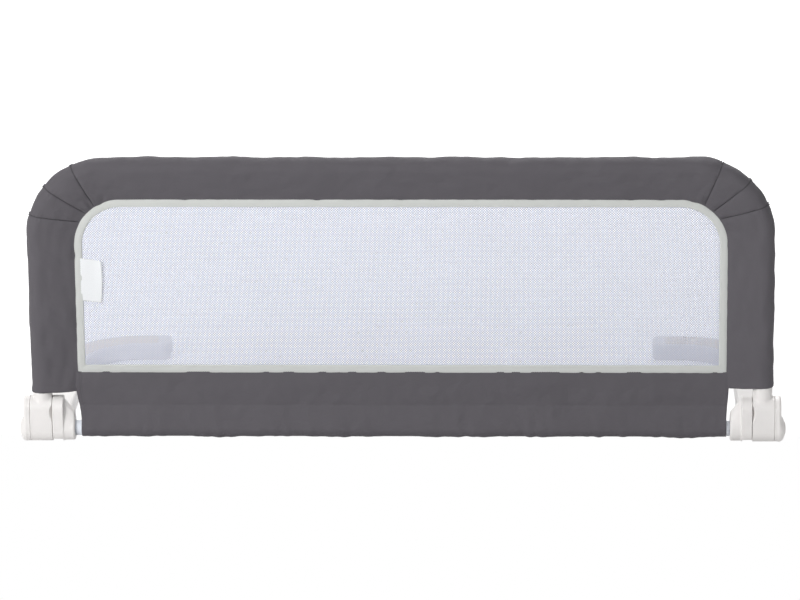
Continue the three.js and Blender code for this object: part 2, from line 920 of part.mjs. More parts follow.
// The release button: a domed cap with a flange behind the boss and legs that reach the disc
function releaseButton() {
  const flangeOuter = bossOuterX - coverWall - fitGap;
  const flangeInner = flangeOuter - buttonFlangeThickness;
  const back = flangeInner - buttonSkirtDepth;
  const flangeRadius = buttonRadius + buttonFlangeWidth;
  const cap = turned(
    [
      [back, 0],
      [back, buttonRadius],
      [flangeInner, buttonRadius],
      [flangeInner, flangeRadius],
      [flangeOuter, flangeRadius],
      [flangeOuter, buttonRadius],
      [buttonOuterX - buttonDome, buttonRadius],
      [buttonOuterX - buttonDome * domeShoulderShare, buttonRadius - buttonDome],
      [buttonOuterX, buttonRadius * domeCrownShare],
      [buttonOuterX, 0],
    ],
    buttonSides,
    0,
    axisHeight,
  );
  const legs = buttonLegSolids(0, gearOuterX + fitGap, back + fitGap);
  return join(cap, ...legs);
}

function lockGear() {
  return cut(
    extrude(toothedOutline(0), "x", gearInnerX, gearOuterX),
    boltHole(gearInnerX, gearOuterX),
  );
}

function lockSpring() {
  const from = gearFloorX + fitGap + springWireRadius;
  const to = gearInnerX - fitGap - springWireRadius;
  const steps = springTurns * springStepsPerTurn;
  const section = roundSection(springWireRadius, springSides);
  const rings = Array.from({ length: steps + 1 }, (_, i) => {
    const a = (2 * Math.PI * i) / springStepsPerTurn;
    const out = new THREE.Vector3(0, Math.cos(a), Math.sin(a));
    const at = new THREE.Vector3(from + ((to - from) * i) / steps, 0, axisHeight);
    at.addScaledVector(out, springRadius);
    return placed(section, at, out, new THREE.Vector3(1, 0, 0));
  });
  // Least gap between neighbouring turns, from the rings' points a whole turn apart
  const gaps = rings.slice(springStepsPerTurn).flatMap((ring, i) =>
    ring.flatMap((a) => rings[i].map((b) => a.distanceTo(b))),
  );
  console.log(`least gap in the lock spring: ${Math.min(...gaps).toFixed(2)} mm`);
  return loft(rings);
}

function hingeBolt() {
  const head = webOuterX + 2 * fitGap + washerThickness;
  const end = lowerSocketX - 2 * fitGap - nutThickness;
  return turned(
    [
      [end, 0],
      [end, boltRadius],
      [head, boltRadius],
      [head, boltHeadRadius],
      [head + boltHeadThickness, boltHeadRadius],
      [head + boltHeadThickness, 0],
    ],
    boltSides,
    0,
    axisHeight,
  );
}

function ringAboutBolt(outline, from, to) {
  outline.holes.push(circle(boltRadius + fitGap, 0, axisHeight));
  return extrude(outline, "x", from, to, boltSteps);
}

function hingeWasher() {
  const from = webOuterX + fitGap;
  const outline = circle(washerRadius, 0, axisHeight);
  return ringAboutBolt(outline, from, from + washerThickness);
}

function hingeNut() {
  const to = lowerSocketX - fitGap;
  const corners = roundSection(nutCornerRadius, nutSides);
  const outline = polygon(corners.map(([y, z]) => [y, z + axisHeight]));
  return ringAboutBolt(outline, to - nutThickness, to);
}

// Section of an arm seen along Y: flat below, with rounded upper edges
function armSection(x, width, bottom, top, edge) {
  const half = width / 2;
  return new THREE.Shape()
    .moveTo(x - half, bottom)
    .lineTo(x + half, bottom)
    .lineTo(x + half, top - edge)
    .absarc(x + half - edge, top - edge, edge, 0, Math.PI / 2)
    .absarc(x - half + edge, top - edge, edge, Math.PI / 2, Math.PI);
}

// The arm's screw goes up through the bracket's tail into the tube
const armScrewY = bracketTailLength - armScrewSetback;

function armScrewSolid(grow) {
  const up = new THREE.Vector3(0, 0, 1);
  const head = armLift + fitGap;
  return screwSolid(armScrewLength, grow, driven(up, armX, armScrewY, head));
}

// The fixed half of the hinge: a rim that takes the lock disc, a domed side that takes the
// lower tube, and a tail that takes the arm
function baseBracket() {
  const rim = extrude(headOutline(barrelRadius), "x", rimInnerX, rimOuterX);
  const domeRadius = barrelRadius - rimProud;
  const low = axisHeight + domeRadius;
  const high = headCentreHeight + domeRadius;
  const rings = Array.from({ length: domeSteps + 1 }, (_, i) => {
    const a = (Math.PI / 2) * (i / domeSteps);
    const top = low + (high - low) * Math.cos(a);
    const outline = headOutline(domeRadius, top - domeRadius);
    const x = rimInnerX + fitGap - (domeWidth + fitGap) * Math.sin(a);
    return outline
      .extractPoints(roundSteps)
      .shape.slice(0, -1)
      .map(({ x: y, y: z }) => new THREE.Vector3(x, y, z));
  });
  const tail = extrude(
    armSection(armX, armWidth, armLift, armHeight, armEdge),
    "y",
    bracketTailStart,
    bracketTailLength,
    edgeSteps,
  );
  const swing = rectangle(
    rimOuterX,
    -barrelRadius,
    armX + armWidth,
    barrelRadius + swingGap,
  );
  const armSocket = circle(armTubeRadius + fitGap, armX, armTubeHeight);
  const notch = rectangle(rimInnerX + rimProud, -barrelRadius, rimOuterX, barrelRadius);
  return cut(
    join(rim, loft(rings), tail),
    extrude(swing, "z", -overrun, hingeHeadHeight),
    extrude(notch, "z", -overrun, rimNotch),
    toothedSocket(gearFloorX, rimOuterX + overrun),
    hingeRound(
      lowerTubeRadius + fitGap,
      domeInnerX - overrun,
      lowerSocketX,
      socketSteps,
    ),
    boltHole(lowerSocketX, gearFloorX),
    extrude(armSocket, "y", armSocketStart, bracketTailLength + overrun, socketSteps),
    armScrewSolid(fitGap),
  );
}

// Arms

// Plan of an arm or of something that follows it, at a half width about its middle line
function armPlan(halfWidth, startY, endX, endRadius) {
  const outer = armBendRadius + halfWidth;
  const inner = armBendRadius - halfWidth;
  const far = armBendY + outer;
  const near = armBendY + inner;
  return new THREE.Shape()
    .moveTo(armX - halfWidth, startY)
    .lineTo(armX + halfWidth, startY)
    .absarc(armBendX, armBendY, outer, 0, Math.PI / 2)
    .absarc(endX + endRadius, far - endRadius, endRadius, Math.PI / 2, Math.PI)
    .absarc(
      endX + endRadius,
      near + endRadius,
      endRadius,
      Math.PI,
      1.5 * Math.PI,
    )
    .absarc(armBendX, armBendY, inner, Math.PI / 2, 0, true);
}

// Where the arm's cross ribs stand: evenly along the straight part, and two round the bend
function armRibPlaces() {
  const straight = armBendY - shellStart;
  const along = Array.from({ length: armRibs }, (_, i) => ({
    x: armX,
    y: shellStart + (straight * (i + 0.5)) / armRibs,
    turn: 0,
  }));
  const bends = bendRibShares.map((share) => {
    const a = (share * Math.PI) / 2;
    return {
      x: armBendX + armBendRadius * Math.cos(a),
      y: armBendY + armBendRadius * Math.sin(a),
      turn: a,
    };
  });
  return [...along, ...bends];
}

function armTubePath(extra) {
  const toPoint = (x, y) => new THREE.Vector3(x, y, armTubeHeight);
  return bentPath(
    toPoint(armX, armSocketStart + fitGap - extra),
    new THREE.Vector2(armBendX, armBendY),
    armBendRadius,
    frameBendSteps,
    toPoint,
    toPoint(armEndX + armWall + armTubeEndGap - extra, armBendY + armBendRadius),
  );
}

function armTube() {
  const up = new THREE.Vector3(0, 0, 1);
  const bore = roundSection(armTubeRadius - armTubeWall, tubeSides);
  return cut(
    sweep(armTubePath(0), roundSection(armTubeRadius, tubeSides), up),
    sweep(armTubePath(overrun), bore, up),
    armScrewSolid(fitGap),
  );
}

// The moulded shell over the arm's tube: a trough open below, with cross ribs that clip on
// the tube and a recess for the grip strip
function armShell() {
  const half = armWidth / 2;
  const bevel = {
    depth: armHeight - 2 * armEdge,
    bevelEnabled: true,
    bevelThickness: armEdge,
    bevelSize: armEdge,
    bevelOffset: -armEdge,
    bevelSegments: edgeSteps,
    curveSegments: planSteps,
  };
  const plan = armPlan(half, shellStart, armEndX, armEndRadius);
  const block = new THREE.ExtrudeGeometry(plan, bevel).translate(0, 0, armEdge);
  const rounded = solid(block);
  // Only the upper edges stay rounded, and the end at the bracket is flat
  const upright = extrude(plan, "z", armLift, armHeight - armEdge, planSteps);
  const section = armSection(armX, armWidth, armLift, armHeight, armEdge);
  const mouth = extrude(
    section,
    "y",
    shellStart,
    shellStart + 2 * armEdge,
    edgeSteps,
  );
  const belowCut = rectangle(
    armEndX - overrun,
    shellStart - overrun,
    armX + armWidth,
    armReach + overrun,
  );
  const outside = cut(
    join(upright, rounded, mouth),
    extrude(belowCut, "z", -overrun, armLift),
  );
  const trough = armPlan(
    half - armWall,
    shellStart - overrun,
    armEndX + armWall,
    armEndRadius - armWall,
  );
  const hollow = extrude(trough, "z", -overrun, armHeight - armWall, planSteps);
  const ribBottom = soleThickness + fitGap;
  const ribTop = armHeight - armWall * overlapShare;
  const ribs = armRibPlaces().map(({ x, y, turn }) => {
    const rib = new THREE.BoxGeometry(
      armWidth - 2 * armWall * overlapShare,
      armRibThickness,
      ribTop - ribBottom,
    );
    rib.translate(0, 0, (ribTop + ribBottom) / 2);
    rib.rotateZ(turn).translate(x, y, 0);
    return solid(rib);
  });
  const recess = stripPlan(stripWidth / 2 + fitGap, fitGap);
  return cut(
    join(cut(outside, hollow), ...ribs),
    tubeChannel(),
    extrude(recess, "z", armHeight - stripRecess, armHeight + overrun, planSteps),
  );
}

// The way in for the tube from below: its own round with straight sides down past the floor
function tubeChannel() {
  const r = armTubeRadius + fitGap;
  const arch = Array.from({ length: socketSteps + 1 }, (_, i) => {
    const a = (Math.PI * i) / socketSteps;
    return [r * Math.cos(a), r * Math.sin(a)];
  });
  const foot = -armTubeHeight - overrun;
  const section = [...arch, [-r, foot], [r, foot]];
  return sweep(armTubePath(overrun), section, new THREE.Vector3(0, 0, 1));
}

function stripPlan(halfWidth, grow) {
  return armPlan(
    halfWidth,
    stripStart - grow,
    armEndX + stripEndGap - grow,
    stripEndRadius,
  );
}

function gripStrip() {
  const bottom = armHeight - stripRecess + fitGap;
  const plan = stripPlan(stripWidth / 2, 0);
  return extrude(plan, "z", bottom, bottom + stripThickness, planSteps);
}

function footSole() {
  const half = armWidth / 2 - armWall - fitGap;
  const end = armEndX + armWall + fitGap;
  const plan = armPlan(half, soleStart, end, soleEndRadius);
  return extrude(plan, "z", 0, soleThickness, planSteps);
}

// Assembly

// What each end of the rail has, built for the +X end
const endPieces = [
  ["frame_tube", frameTube, coatedSteel],
  ["post_screw", postScrew, darkSteel],
  ["post_sleeve", postSleeve, fabric],
  ["hinge_body", hingeBody, plastic],
  ["hinge_cover", hingeCover, plastic],
  ["release_button", releaseButton, plastic],
  ["lock_gear", lockGear, lockPlastic],
  ["lock_spring", lockSpring, darkSteel],
  ["hinge_bolt", hingeBolt, darkSteel],
  ["hinge_washer", hingeWasher, darkSteel],
  ["hinge_nut", hingeNut, darkSteel],
  ["base_bracket", baseBracket, plastic],
  ["arm_tube", armTube, coatedSteel],
  ["arm_screw", () => armScrewSolid(0), darkSteel],
  ["arm_shell", armShell, plastic],
  ["grip_strip", gripStrip, cream],
  ["foot_sole", footSole, soleRubber],
];
const gores = [
  ["lower_gore", lowSeam + seamGapDeg, midSeam],
  ["upper_gore", midSeam + seamGapDeg, highSeam],
];
gores.forEach(([name, from, to]) => {
  endPieces.push([name, () => sleeve(stationsBetween(from, to)), fabric]);
});
coverScrewSides.forEach((side) => {
  const name = side < 0 ? "front_cover_screw" : "rear_cover_screw";
  endPieces.push([name, () => coverScrewAt(side, 0), darkSteel]);
});

const rail = new THREE.Group();
// The origin is on the floor, under the middle of the rail's outer box
rail.position.y = -(armReach - barrelRadius) / 2;

const ends = { right: new THREE.Group(), left: new THREE.Group() };
ends.left.scale.x = -1;
endPieces.forEach(([name, make, look]) => {
  const made = make();
  Object.entries(ends).forEach(([side, group]) => {
    group.add(piece(`${side}_${name}`, made, look));
  });
});
rail.add(ends.left, ends.right);

rail.add(
  piece("top_sleeve", topSleeve(), fabric),
  piece("lower_panel", lowerPanel(), fabric),
  piece("net_window", netPanel(), net),
  piece("net_binding", binding(), tape),
  piece("side_label", label(), whiteTape),
  piece("top_tube", topTube(), coatedSteel),
  piece("lower_tube", lowerTube(), zincSteel),
);

export default rail;
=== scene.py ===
# Looks of a folding bed guard rail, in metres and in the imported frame's own axes.
# X runs along the rail, +Y goes under the mattress and +Z is up. The camera looks along +Y.
import json
import math

import bpy
import numpy as np
from mathutils import Matrix, Vector


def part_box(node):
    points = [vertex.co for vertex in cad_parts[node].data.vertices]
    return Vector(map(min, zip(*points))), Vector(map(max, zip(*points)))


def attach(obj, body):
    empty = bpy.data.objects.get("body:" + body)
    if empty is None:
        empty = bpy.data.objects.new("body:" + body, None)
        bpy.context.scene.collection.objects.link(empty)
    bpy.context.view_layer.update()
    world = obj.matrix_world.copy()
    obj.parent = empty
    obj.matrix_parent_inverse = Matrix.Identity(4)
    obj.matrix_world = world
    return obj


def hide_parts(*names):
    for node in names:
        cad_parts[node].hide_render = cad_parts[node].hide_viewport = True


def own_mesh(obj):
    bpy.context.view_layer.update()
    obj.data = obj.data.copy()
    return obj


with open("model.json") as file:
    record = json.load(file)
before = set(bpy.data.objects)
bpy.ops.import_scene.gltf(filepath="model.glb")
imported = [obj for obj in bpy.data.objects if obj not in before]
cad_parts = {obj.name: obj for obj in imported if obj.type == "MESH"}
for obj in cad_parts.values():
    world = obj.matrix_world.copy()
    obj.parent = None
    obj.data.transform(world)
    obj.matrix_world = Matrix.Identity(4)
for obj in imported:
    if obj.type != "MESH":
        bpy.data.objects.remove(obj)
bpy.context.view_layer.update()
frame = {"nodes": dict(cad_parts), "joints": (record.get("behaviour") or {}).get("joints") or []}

MM = 0.001

# Places that the frame gives
fold = next(joint for joint in frame["joints"] if joint["name"] == "guard_fold")
HINGE_Y = fold["pos_m"][1]
AXIS_Z = fold["pos_m"][2]
sleeve_low, sleeve_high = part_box("right_post_sleeve")
tape_low, tape_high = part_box("net_binding")
panel_low, panel_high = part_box("lower_panel")
body_low, body_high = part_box("right_hinge_body")
cover_low, cover_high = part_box("right_hinge_cover")
button_low, button_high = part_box("right_release_button")
bracket_low, bracket_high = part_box("right_base_bracket")
shell_low, shell_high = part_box("right_arm_shell")
strip_low, strip_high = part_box("right_grip_strip")
sole_low, sole_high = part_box("right_foot_sole")
label_low, label_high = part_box("side_label")
gear_low, gear_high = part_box("right_lock_gear")
spring_low, spring_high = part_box("right_lock_spring")
frame_tube_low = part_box("right_frame_tube")[0]
top_tube_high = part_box("top_tube")[1]
lower_tube_low, lower_tube_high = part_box("lower_tube")
arm_tube_low, arm_tube_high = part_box("right_arm_tube")

# Fabric sleeve
GUARD_HALF = sleeve_high.x
GUARD_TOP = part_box("top_sleeve")[1].z
SLEEVE_BOTTOM = sleeve_low.z
SLEEVE_RADIUS = 14.8 * MM
LIP_HALF = 1.0 * MM
LIP_TUCK = 1.8 * MM  # of the sleeve's edge under the binding
CLOTH_THICKNESS = 0.9 * MM
CORNER_RADIUS = 110 * MM
RIGHT_SEAMS = [math.radians(a) for a in (25, 47, 71)]
LEFT_SEAMS = [math.radians(a) for a in (17, 40.5, 65.5)]
HEM_WIDTH = 9 * MM

# Window
TAPE_WIDTH = 11.2 * MM
TAPE_HALF = 2.1 * MM
TAPE_CORNER = 66 * MM  # radius of the binding's outer edge
STITCH_PITCH = 3.2 * MM
STITCH_HALF = 1.15 * MM
STITCH_SIDES = 6
THREAD_RADIUS = 0.26 * MM
# Inset of each line of stitches, their depth in the tape and half the width of their groove
STITCH_LINES = ((8.3 * MM, 0.28 * MM, 0.8 * MM), (1.8 * MM, 0.34 * MM, 0.7 * MM))
GROOVE_DEPTH = 0.35 * MM
TAPE_SIDES = 28
TAPE_SQUARENESS = 0.62
SEAM_FAN = 45 * MM  # radius of the corner that the seams run towards
NET_PITCH = 2.475 * MM  # between neighbouring strands
STRAND_WIDTH = 1.3 * MM
STRAND_THICKNESS = 0.42 * MM
STRAND_OFFSET = 0.1 * MM  # of one family in front of the middle, and of the other behind it
STRAND_SIDES = 6
STRAND_STEP = 14 * MM  # between its rings
NET_GRIP = 4 * MM  # how far the net reaches into the binding
LABEL_TUCK = 2.5 * MM  # of the side label behind the binding's edge
LABEL_THICKNESS = 0.55 * MM
LABEL_COLUMNS = 16
LABEL_ROWS = 34
LABEL_DROOP = 3.6 * MM  # of its free edge
LABEL_BULGE = 1.6 * MM
LABEL_LEAN = 1.2 * MM
LABEL_LIFT = 2.6 * MM  # of its free edge off the net
LABEL_WAVE = 0.5 * MM

# Lower panel
PANEL_HALF = 1.4 * MM
PANEL_HEM_Z = 52 * MM  # where its two layers come together
LOOP_RADIUS = 12 * MM
PANEL_EASE = 3 * MM  # of its upper end over the binding's width
PANEL_TAPERS = (7 * MM, 3 * MM)  # how far the left and the right edge draw in
PANEL_TAPER_Z = 30 * MM
SIDE_HEM = 8 * MM
PANEL_ROWS = (26, 18, 40)  # of a straight layer, a slanted layer and the loop round the tube
PANEL_COLUMNS = 320
EDGE_COLUMNS = (0.2, 0.6, 1.2, 2, 3, 4.5, 6, 7, 7.6, 8.2, 8.8, 9.6, 11)  # from an end, in mm

# Hinge
HEAD_RADIUS = 18 * MM
HEAD_TOP = body_low.z + 47 * MM  # centre of the head's round top
BODY_EDGE = 0.7 * MM
STUB_RADIUS = 13.7 * MM
STUB_TOP = 74.7 * MM
STUB_ROOT = 10 * MM  # how far it reaches down into the head's round top
STUB_EDGE = 0.8 * MM
STUB_FILLET = 2.4 * MM
COLLAR = 7 * MM  # of the stub round the post's tube
COLLAR_ROOT = 3 * MM
COLLAR_EDGE = 0.4 * MM
COLLAR_BORE = 12.7 * MM
SPIGOT_RADIUS = 11 * MM
SPIGOT_ROOT = 4 * MM
SPIGOT_BORE = 8 * MM
SCOOP_Z = 45.5 * MM  # of the shallow scoop in the body's front edge beside the rim
SCOOP_HALF = 13 * MM
SCOOP_DEPTH = 3.4 * MM
SCOOP_FALL = 0.42  # how much shallower it gets per length behind the front
GEAR_TEETH = 24
TOOTH_HEIGHT = 1.4 * MM
TOOTH_ROOT_SHARE = 0.31  # half its width at the root, of the pitch
TOOTH_FLANK_SHARE = 0.12
BODY_SOCKET = 5.75 * MM  # depth of the lock disc's socket in the body
BODY_SOCKET_GAP = 0.25 * MM
WEB = 3.5 * MM
CAVITY_RADIUS = 14.5 * MM
BOLT_HOLE = 3.3 * MM
POST_X = GUARD_HALF - SLEEVE_RADIUS

# Cover and button
COVER_WALL = 2.4 * MM
COVER_EDGE = 3 * MM
COVER_BORE = 11 * MM
COVER_INNER = 14.4 * MM
BOSS_HEIGHT = 4.7 * MM
BOSS_CROWN = 0.2 * MM  # of its height that the bore round the button takes away
BOSS_FLAT = 9 * MM
BOSS_FALL = 10 * MM
BOSS_FILLET = 1.5 * MM
PILLAR_RADIUS = 4.5 * MM
PILLAR_INSET = 1.2 * MM
COVER_SCREW_Z = 51 * MM
COVER_SCREW_Y = 8.5 * MM
COVER_SCREW_LENGTH = 16 * MM
SCREW_BORE = 1.9 * MM
SCREW_SEAT = 3.3 * MM
SCREW_SEAT_DEPTH = 2.3 * MM
BUTTON_RADIUS = 10.6 * MM
BUTTON_DOME = 1.9 * MM
BUTTON_EDGE = 1.6 * MM
BUTTON_SKIRT = 9 * MM
FLANGE_RADIUS = 12.8 * MM
FLANGE = 3 * MM
LEGS = 3
LEG_CIRCLE = 9 * MM
LEG_RADIUS = 1.9 * MM
LEG_HOLE = 2.3 * MM
LEG_TURN_SHARE = 0.25  # of the angle between two legs
LEG_ROOT = 1 * MM

# Base bracket
RIM_GAP = 0.5 * MM
RIM_WIDTH = 15.2 * MM
RIM_EDGE = 1.3 * MM
DOME_RADIUS = 17 * MM
DOME_TOP_RADIUS = 8.5 * MM
DOME_TOPS = (34.8 * MM, 16.1 * MM)  # of its round top above the axis, at the rim and inside
DOME_ROOT = 2 * MM
DOME_EDGE = 3 * MM
TAIL_START = 6 * MM  # behind the hinge's axis
TAIL_LIFT = 1 * MM
TAIL_FILLET = 4 * MM
SWING = 19.5 * MM  # room behind the axis for the hinge body
NOTCH_HEIGHT = 5.5 * MM
NOTCH_INSET = 1.5 * MM
GEAR_SOCKET = 15.5 * MM
GEAR_SOCKET_GAP = 0.45 * MM
TUBE_SOCKET = 11.25 * MM
TUBE_SOCKET_RADIUS = 10.8 * MM
ARM_SOCKET = 24 * MM  # its start, behind the axis
SOCKET_EDGE = 0.6 * MM

# Arms
ARM_WIDTH = 48 * MM
ARM_EDGE = 4 * MM
ARM_WALL = 2.5 * MM
ARM_BEND = 100 * MM
ARM_END_EDGE = 9 * MM
ARM_LIFT = 2 * MM
RIBS = 5
RIB_HALF = 1.2 * MM
RIB_LIFT = 3.5 * MM
BEND_RIB_SHARES = (0.25, 0.75)  # of the bend's quarter turn
STRIP_HALF = 17 * MM
STRIP_CORNER = 4 * MM
STRIP_EDGE = 1 * MM
STRIP_RECESS = 1 * MM
RIDGE = 0.22 * MM  # of the strip's ribs
RIDGE_PITCH = 2.8 * MM
SOLE_INSET = 2.8 * MM
SOLE_CORNER = 6 * MM
TREAD_PITCH = 6 * MM
TREAD_HALF = 0.6 * MM
TREAD_DEPTH = 0.9 * MM
FIT = 0.3 * MM  # between two pieces that seat on each other
PAST = 9 * MM  # how far a cut passes the face that it opens

# Tubes
FRAME_TUBE_RADIUS = 12.5 * MM
LOWER_TUBE_RADIUS = 10.5 * MM
ARM_TUBE_RADIUS = 8 * MM
TUBE_WALL = 1.2 * MM
ARM_TUBE_WALL = 1.5 * MM
SWAGE = 40 * MM  # length of the narrow ends of the top tube
SWAGE_CONE = 4 * MM

TOP_Z = GUARD_TOP - SLEEVE_RADIUS
BEND_RADIUS = CORNER_RADIUS - SLEEVE_RADIUS
CORNER_X = GUARD_HALF - CORNER_RADIUS
CORNER_Z = GUARD_TOP - CORNER_RADIUS
ARM_X = shell_high.x - ARM_WIDTH / 2
ARM_BEND_X = ARM_X - ARM_BEND
ARM_BEND_Y = shell_high.y - ARM_WIDTH / 2 - ARM_BEND
ARM_TUBE_Z = (arm_tube_low.z + arm_tube_high.z) / 2
SIDES = (("right", 1), ("left", -1))

# Camera: the photograph's place, tilt and framing
CAMERA_PLACE = Vector((0.2296, -6.2219, 2.0338))
CAMERA_PITCH = 0.29479
CAMERA_YAW = 0.02003
CAMERA_ROLL = -0.00478
CAMERA_LENS = 205.38
CAMERA_SHIFT = -0.1


def add_camera():
    forward = Vector((
        -math.sin(CAMERA_YAW) * math.cos(CAMERA_PITCH),
        math.cos(CAMERA_YAW) * math.cos(CAMERA_PITCH),
        -math.sin(CAMERA_PITCH),
    ))
    level = Vector((math.cos(CAMERA_YAW), math.sin(CAMERA_YAW), 0))
    right = level * math.cos(CAMERA_ROLL) + level.cross(forward) * math.sin(CAMERA_ROLL)
    up = right.cross(forward)
    turn = Matrix((right, up, -forward)).transposed().to_4x4()
    data = bpy.data.cameras.new("camera")
    data.lens = CAMERA_LENS
    data.sensor_width = 36
    data.shift_x = CAMERA_SHIFT
    data.clip_end = 60
    camera = bpy.data.objects.new("camera", data)
    camera.matrix_world = Matrix.Translation(CAMERA_PLACE) @ turn
    bpy.context.collection.objects.link(camera)
    bpy.context.scene.camera = camera


# Material nodes
def linear(red, green, blue):
    """A colour of 0 to 255 screen values as the linear colour that shaders take."""
    def channel(value):
        share = value / 255
        return share / 12.92 if share <= 0.04045 else ((share + 0.055) / 1.055) ** 2.4
    return (channel(red), channel(green), channel(blue), 1)


class Nodes:
    """Short calls for the nodes of one tree."""

    def __init__(self, tree):
        self.tree = tree

    def node(self, kind, **settings):
        made = self.tree.nodes.new(kind)
        for key, value in settings.items():
            setattr(made, key, value)
        return made

    def link(self, source, target):
        self.tree.links.new(source, target)

    def math(self, operation, *values):
        made = self.node("ShaderNodeMath", operation=operation)
        for socket, value in zip(made.inputs, values):
            if isinstance(value, (int, float)):
                socket.default_value = value
            else:
                self.link(value, socket)
        return made.outputs[0]

    def spread(self, value, low, high, start=0.0, end=1.0):
        """Goes from low to high while the value goes from start to end."""
        made = self.node("ShaderNodeMapRange")
        self.link(value, made.inputs["Value"])
        for name, number in (
            ("From Min", start), ("From Max", end), ("To Min", low), ("To Max", high)
        ):
            made.inputs[name].default_value = number
        return made.outputs["Result"]

    def seen_directly(self):
        """1 for rays from the camera, mirrors and glass, and 0 for the light on the object."""
        rays = self.node("ShaderNodeLightPath").outputs
        seen = self.math("MAXIMUM", rays["Is Camera Ray"], rays["Is Glossy Ray"])
        return self.math("MAXIMUM", seen, rays["Is Transmission Ray"])


class Finish(Nodes):
    """A material with short calls for its textures."""

    def __init__(self, name, colour, roughness, metallic=0.0, specular=0.5):
        self.material = bpy.data.materials.new(name)
        self.material.use_nodes = True
        super().__init__(self.material.node_tree)
        self.shader = self.tree.nodes["Principled BSDF"]
        self.colour = linear(*colour)
        self.shader.inputs["Base Color"].default_value = self.colour
        self.shader.inputs["Roughness"].default_value = roughness
        self.shader.inputs["Metallic"].default_value = metallic
        self.shader.inputs["Specular IOR Level"].default_value = specular
        self.normal = None

    def place(self, name=None):
        """Coordinates in metres: along and across a cloth, or through a solid."""
        if name:
            return self.node("ShaderNodeAttribute", attribute_name=name).outputs["Vector"]
        return self.node("ShaderNodeTexCoord").outputs["Object"]

    def noise(self, place, size, detail=2.0, stretch=(1, 1, 1)):
        """Noise of 0 to 1 whose marks are about one size across, in metres."""
        scale = self.node("ShaderNodeVectorMath", operation="MULTIPLY")
        self.link(place, scale.inputs[0])
        scale.inputs[1].default_value = [s / size for s in stretch]
        made = self.node("ShaderNodeTexNoise")
        made.inputs["Scale"].default_value = 1.0
        made.inputs["Detail"].default_value = detail
        self.link(scale.outputs[0], made.inputs["Vector"])
        return made.outputs["Fac"]

    def wave(self, value, pitch):
        """A sine of -1 to 1 along a length."""
        return self.math("SINE", self.math("MULTIPLY", value, 2 * math.pi / pitch))

    def axes(self, place):
        split = self.node("ShaderNodeSeparateXYZ")
        self.link(place, split.inputs[0])
        return split.outputs

    def tint(self, *spreads, shade=None):
        """Multiplies the colour by 1 plus each spread of a 0 to 1 pattern, less a shade."""
        total = None
        for pattern, amount in spreads:
            term = self.math("MULTIPLY", self.math("SUBTRACT", pattern, 0.5), amount)
            total = term if total is None else self.math("ADD", total, term)
        factor = self.math("ADD", total, 1.0)
        if shade is not None:
            factor = self.math("SUBTRACT", factor, shade)
        scale = self.node("ShaderNodeVectorMath", operation="SCALE")
        scale.inputs[0].default_value = self.colour[:3]
        self.link(factor, scale.inputs["Scale"])
        self.link(scale.outputs[0], self.shader.inputs["Base Color"])

    def rough(self, pattern, low, high):
        spread = self.math("MULTIPLY", pattern, high - low)
        self.link(self.math("ADD", spread, low), self.shader.inputs["Roughness"])

    def relief(self, height, depth):
        """Adds a bump whose height of 0 to 1 stands for a depth in metres."""
        bump = self.node("ShaderNodeBump")
        bump.inputs["Distance"].default_value = depth
        self.link(height, bump.inputs["Height"])
        if self.normal:
            self.link(self.normal, bump.inputs["Normal"])
        self.normal = bump.outputs["Normal"]
        self.link(self.normal, self.shader.inputs["Normal"])

    def sheen(self, weight, roughness=0.5):
        self.shader.inputs["Sheen Weight"].default_value = weight
        self.shader.inputs["Sheen Roughness"].default_value = roughness


def woven(name, colour, pitch, depth, roughness=0.85, sheen=0.12, mottle=0.07):
    """Plain weave: warp and weft that pass over each other at a pitch."""
    finish = Finish(name, colour, roughness, specular=0.25)
    place = finish.place("cloth")
    along, across, painted_seam_shade = finish.axes(place)
    weave = finish.math("MULTIPLY", finish.wave(along, pitch), finish.wave(across, pitch))
    raised = finish.math("MULTIPLY_ADD", weave, 0.5, 0.5)
    broad = finish.noise(place, 60 * MM)
    thread = finish.noise(place, 1.4 * MM, 3.0, (0.25, 1, 1))
    fleck = finish.noise(place, 0.7 * MM, 2.0)
    # The cloth attribute's third value darkens the colour along each seam: painted shade in the
    # seam's crease.
    finish.tint(
        (broad, mottle), (thread, mottle), (fleck, 1.4 * mottle), (raised, 0.10),
        shade=finish.math("MULTIPLY", painted_seam_shade, 0.5 / MM),
    )
    finish.relief(raised, depth)
    finish.relief(thread, 0.6 * depth)
    finish.sheen(sheen)
    return finish.material


def ribbed_tape(name, colour, pitch, depth):
    """Grosgrain: fine ribs across the tape."""
    finish = Finish(name, colour, 0.8, specular=0.25)
    place = finish.place("cloth")
    rib = finish.math("MULTIPLY_ADD", finish.wave(finish.axes(place)[0], pitch), 0.5, 0.5)
    thread = finish.noise(place, 0.8 * MM, 2.0, (1, 0.3, 1))
    broad = finish.noise(place, 40 * MM)
    finish.tint((rib, 0.10), (thread, 0.08), (broad, 0.05))
    finish.relief(rib, depth)
    finish.relief(thread, 0.5 * depth)
    finish.sheen(0.1)
    return finish.material


def moulded(name, colour, roughness, grain=0.5 * MM, depth=0.012 * MM):
    """Moulded plastic: fine spark grain, slight flow marks and faint scuffs."""
    finish = Finish(name, colour, roughness, specular=0.4)
    place = finish.place()
    fine = finish.noise(place, grain, 2.0)
    flow = finish.noise(place, 28 * MM, 3.0, (1, 0.6, 1.6))
    scuff = finish.noise(place, 3 * MM, 5.0, (1, 3.2, 1))
    finish.tint((flow, 0.05), (fine, 0.03), (scuff, 0.03))
    finish.rough(scuff, roughness - 0.07, roughness + 0.12)
    finish.relief(fine, depth)
    finish.relief(flow, 5 * depth)
    return finish.material


def rubber(name, colour, grain):
    finish = Finish(name, colour, 0.85, specular=0.3)
    place = finish.place()
    pores = finish.noise(place, grain, 4.0)
    broad = finish.noise(place, 25 * MM)
    finish.tint((pores, 0.10), (broad, 0.06))
    finish.rough(pores, 0.78, 0.95)
    finish.relief(pores, 0.08 * MM)
    return finish.material


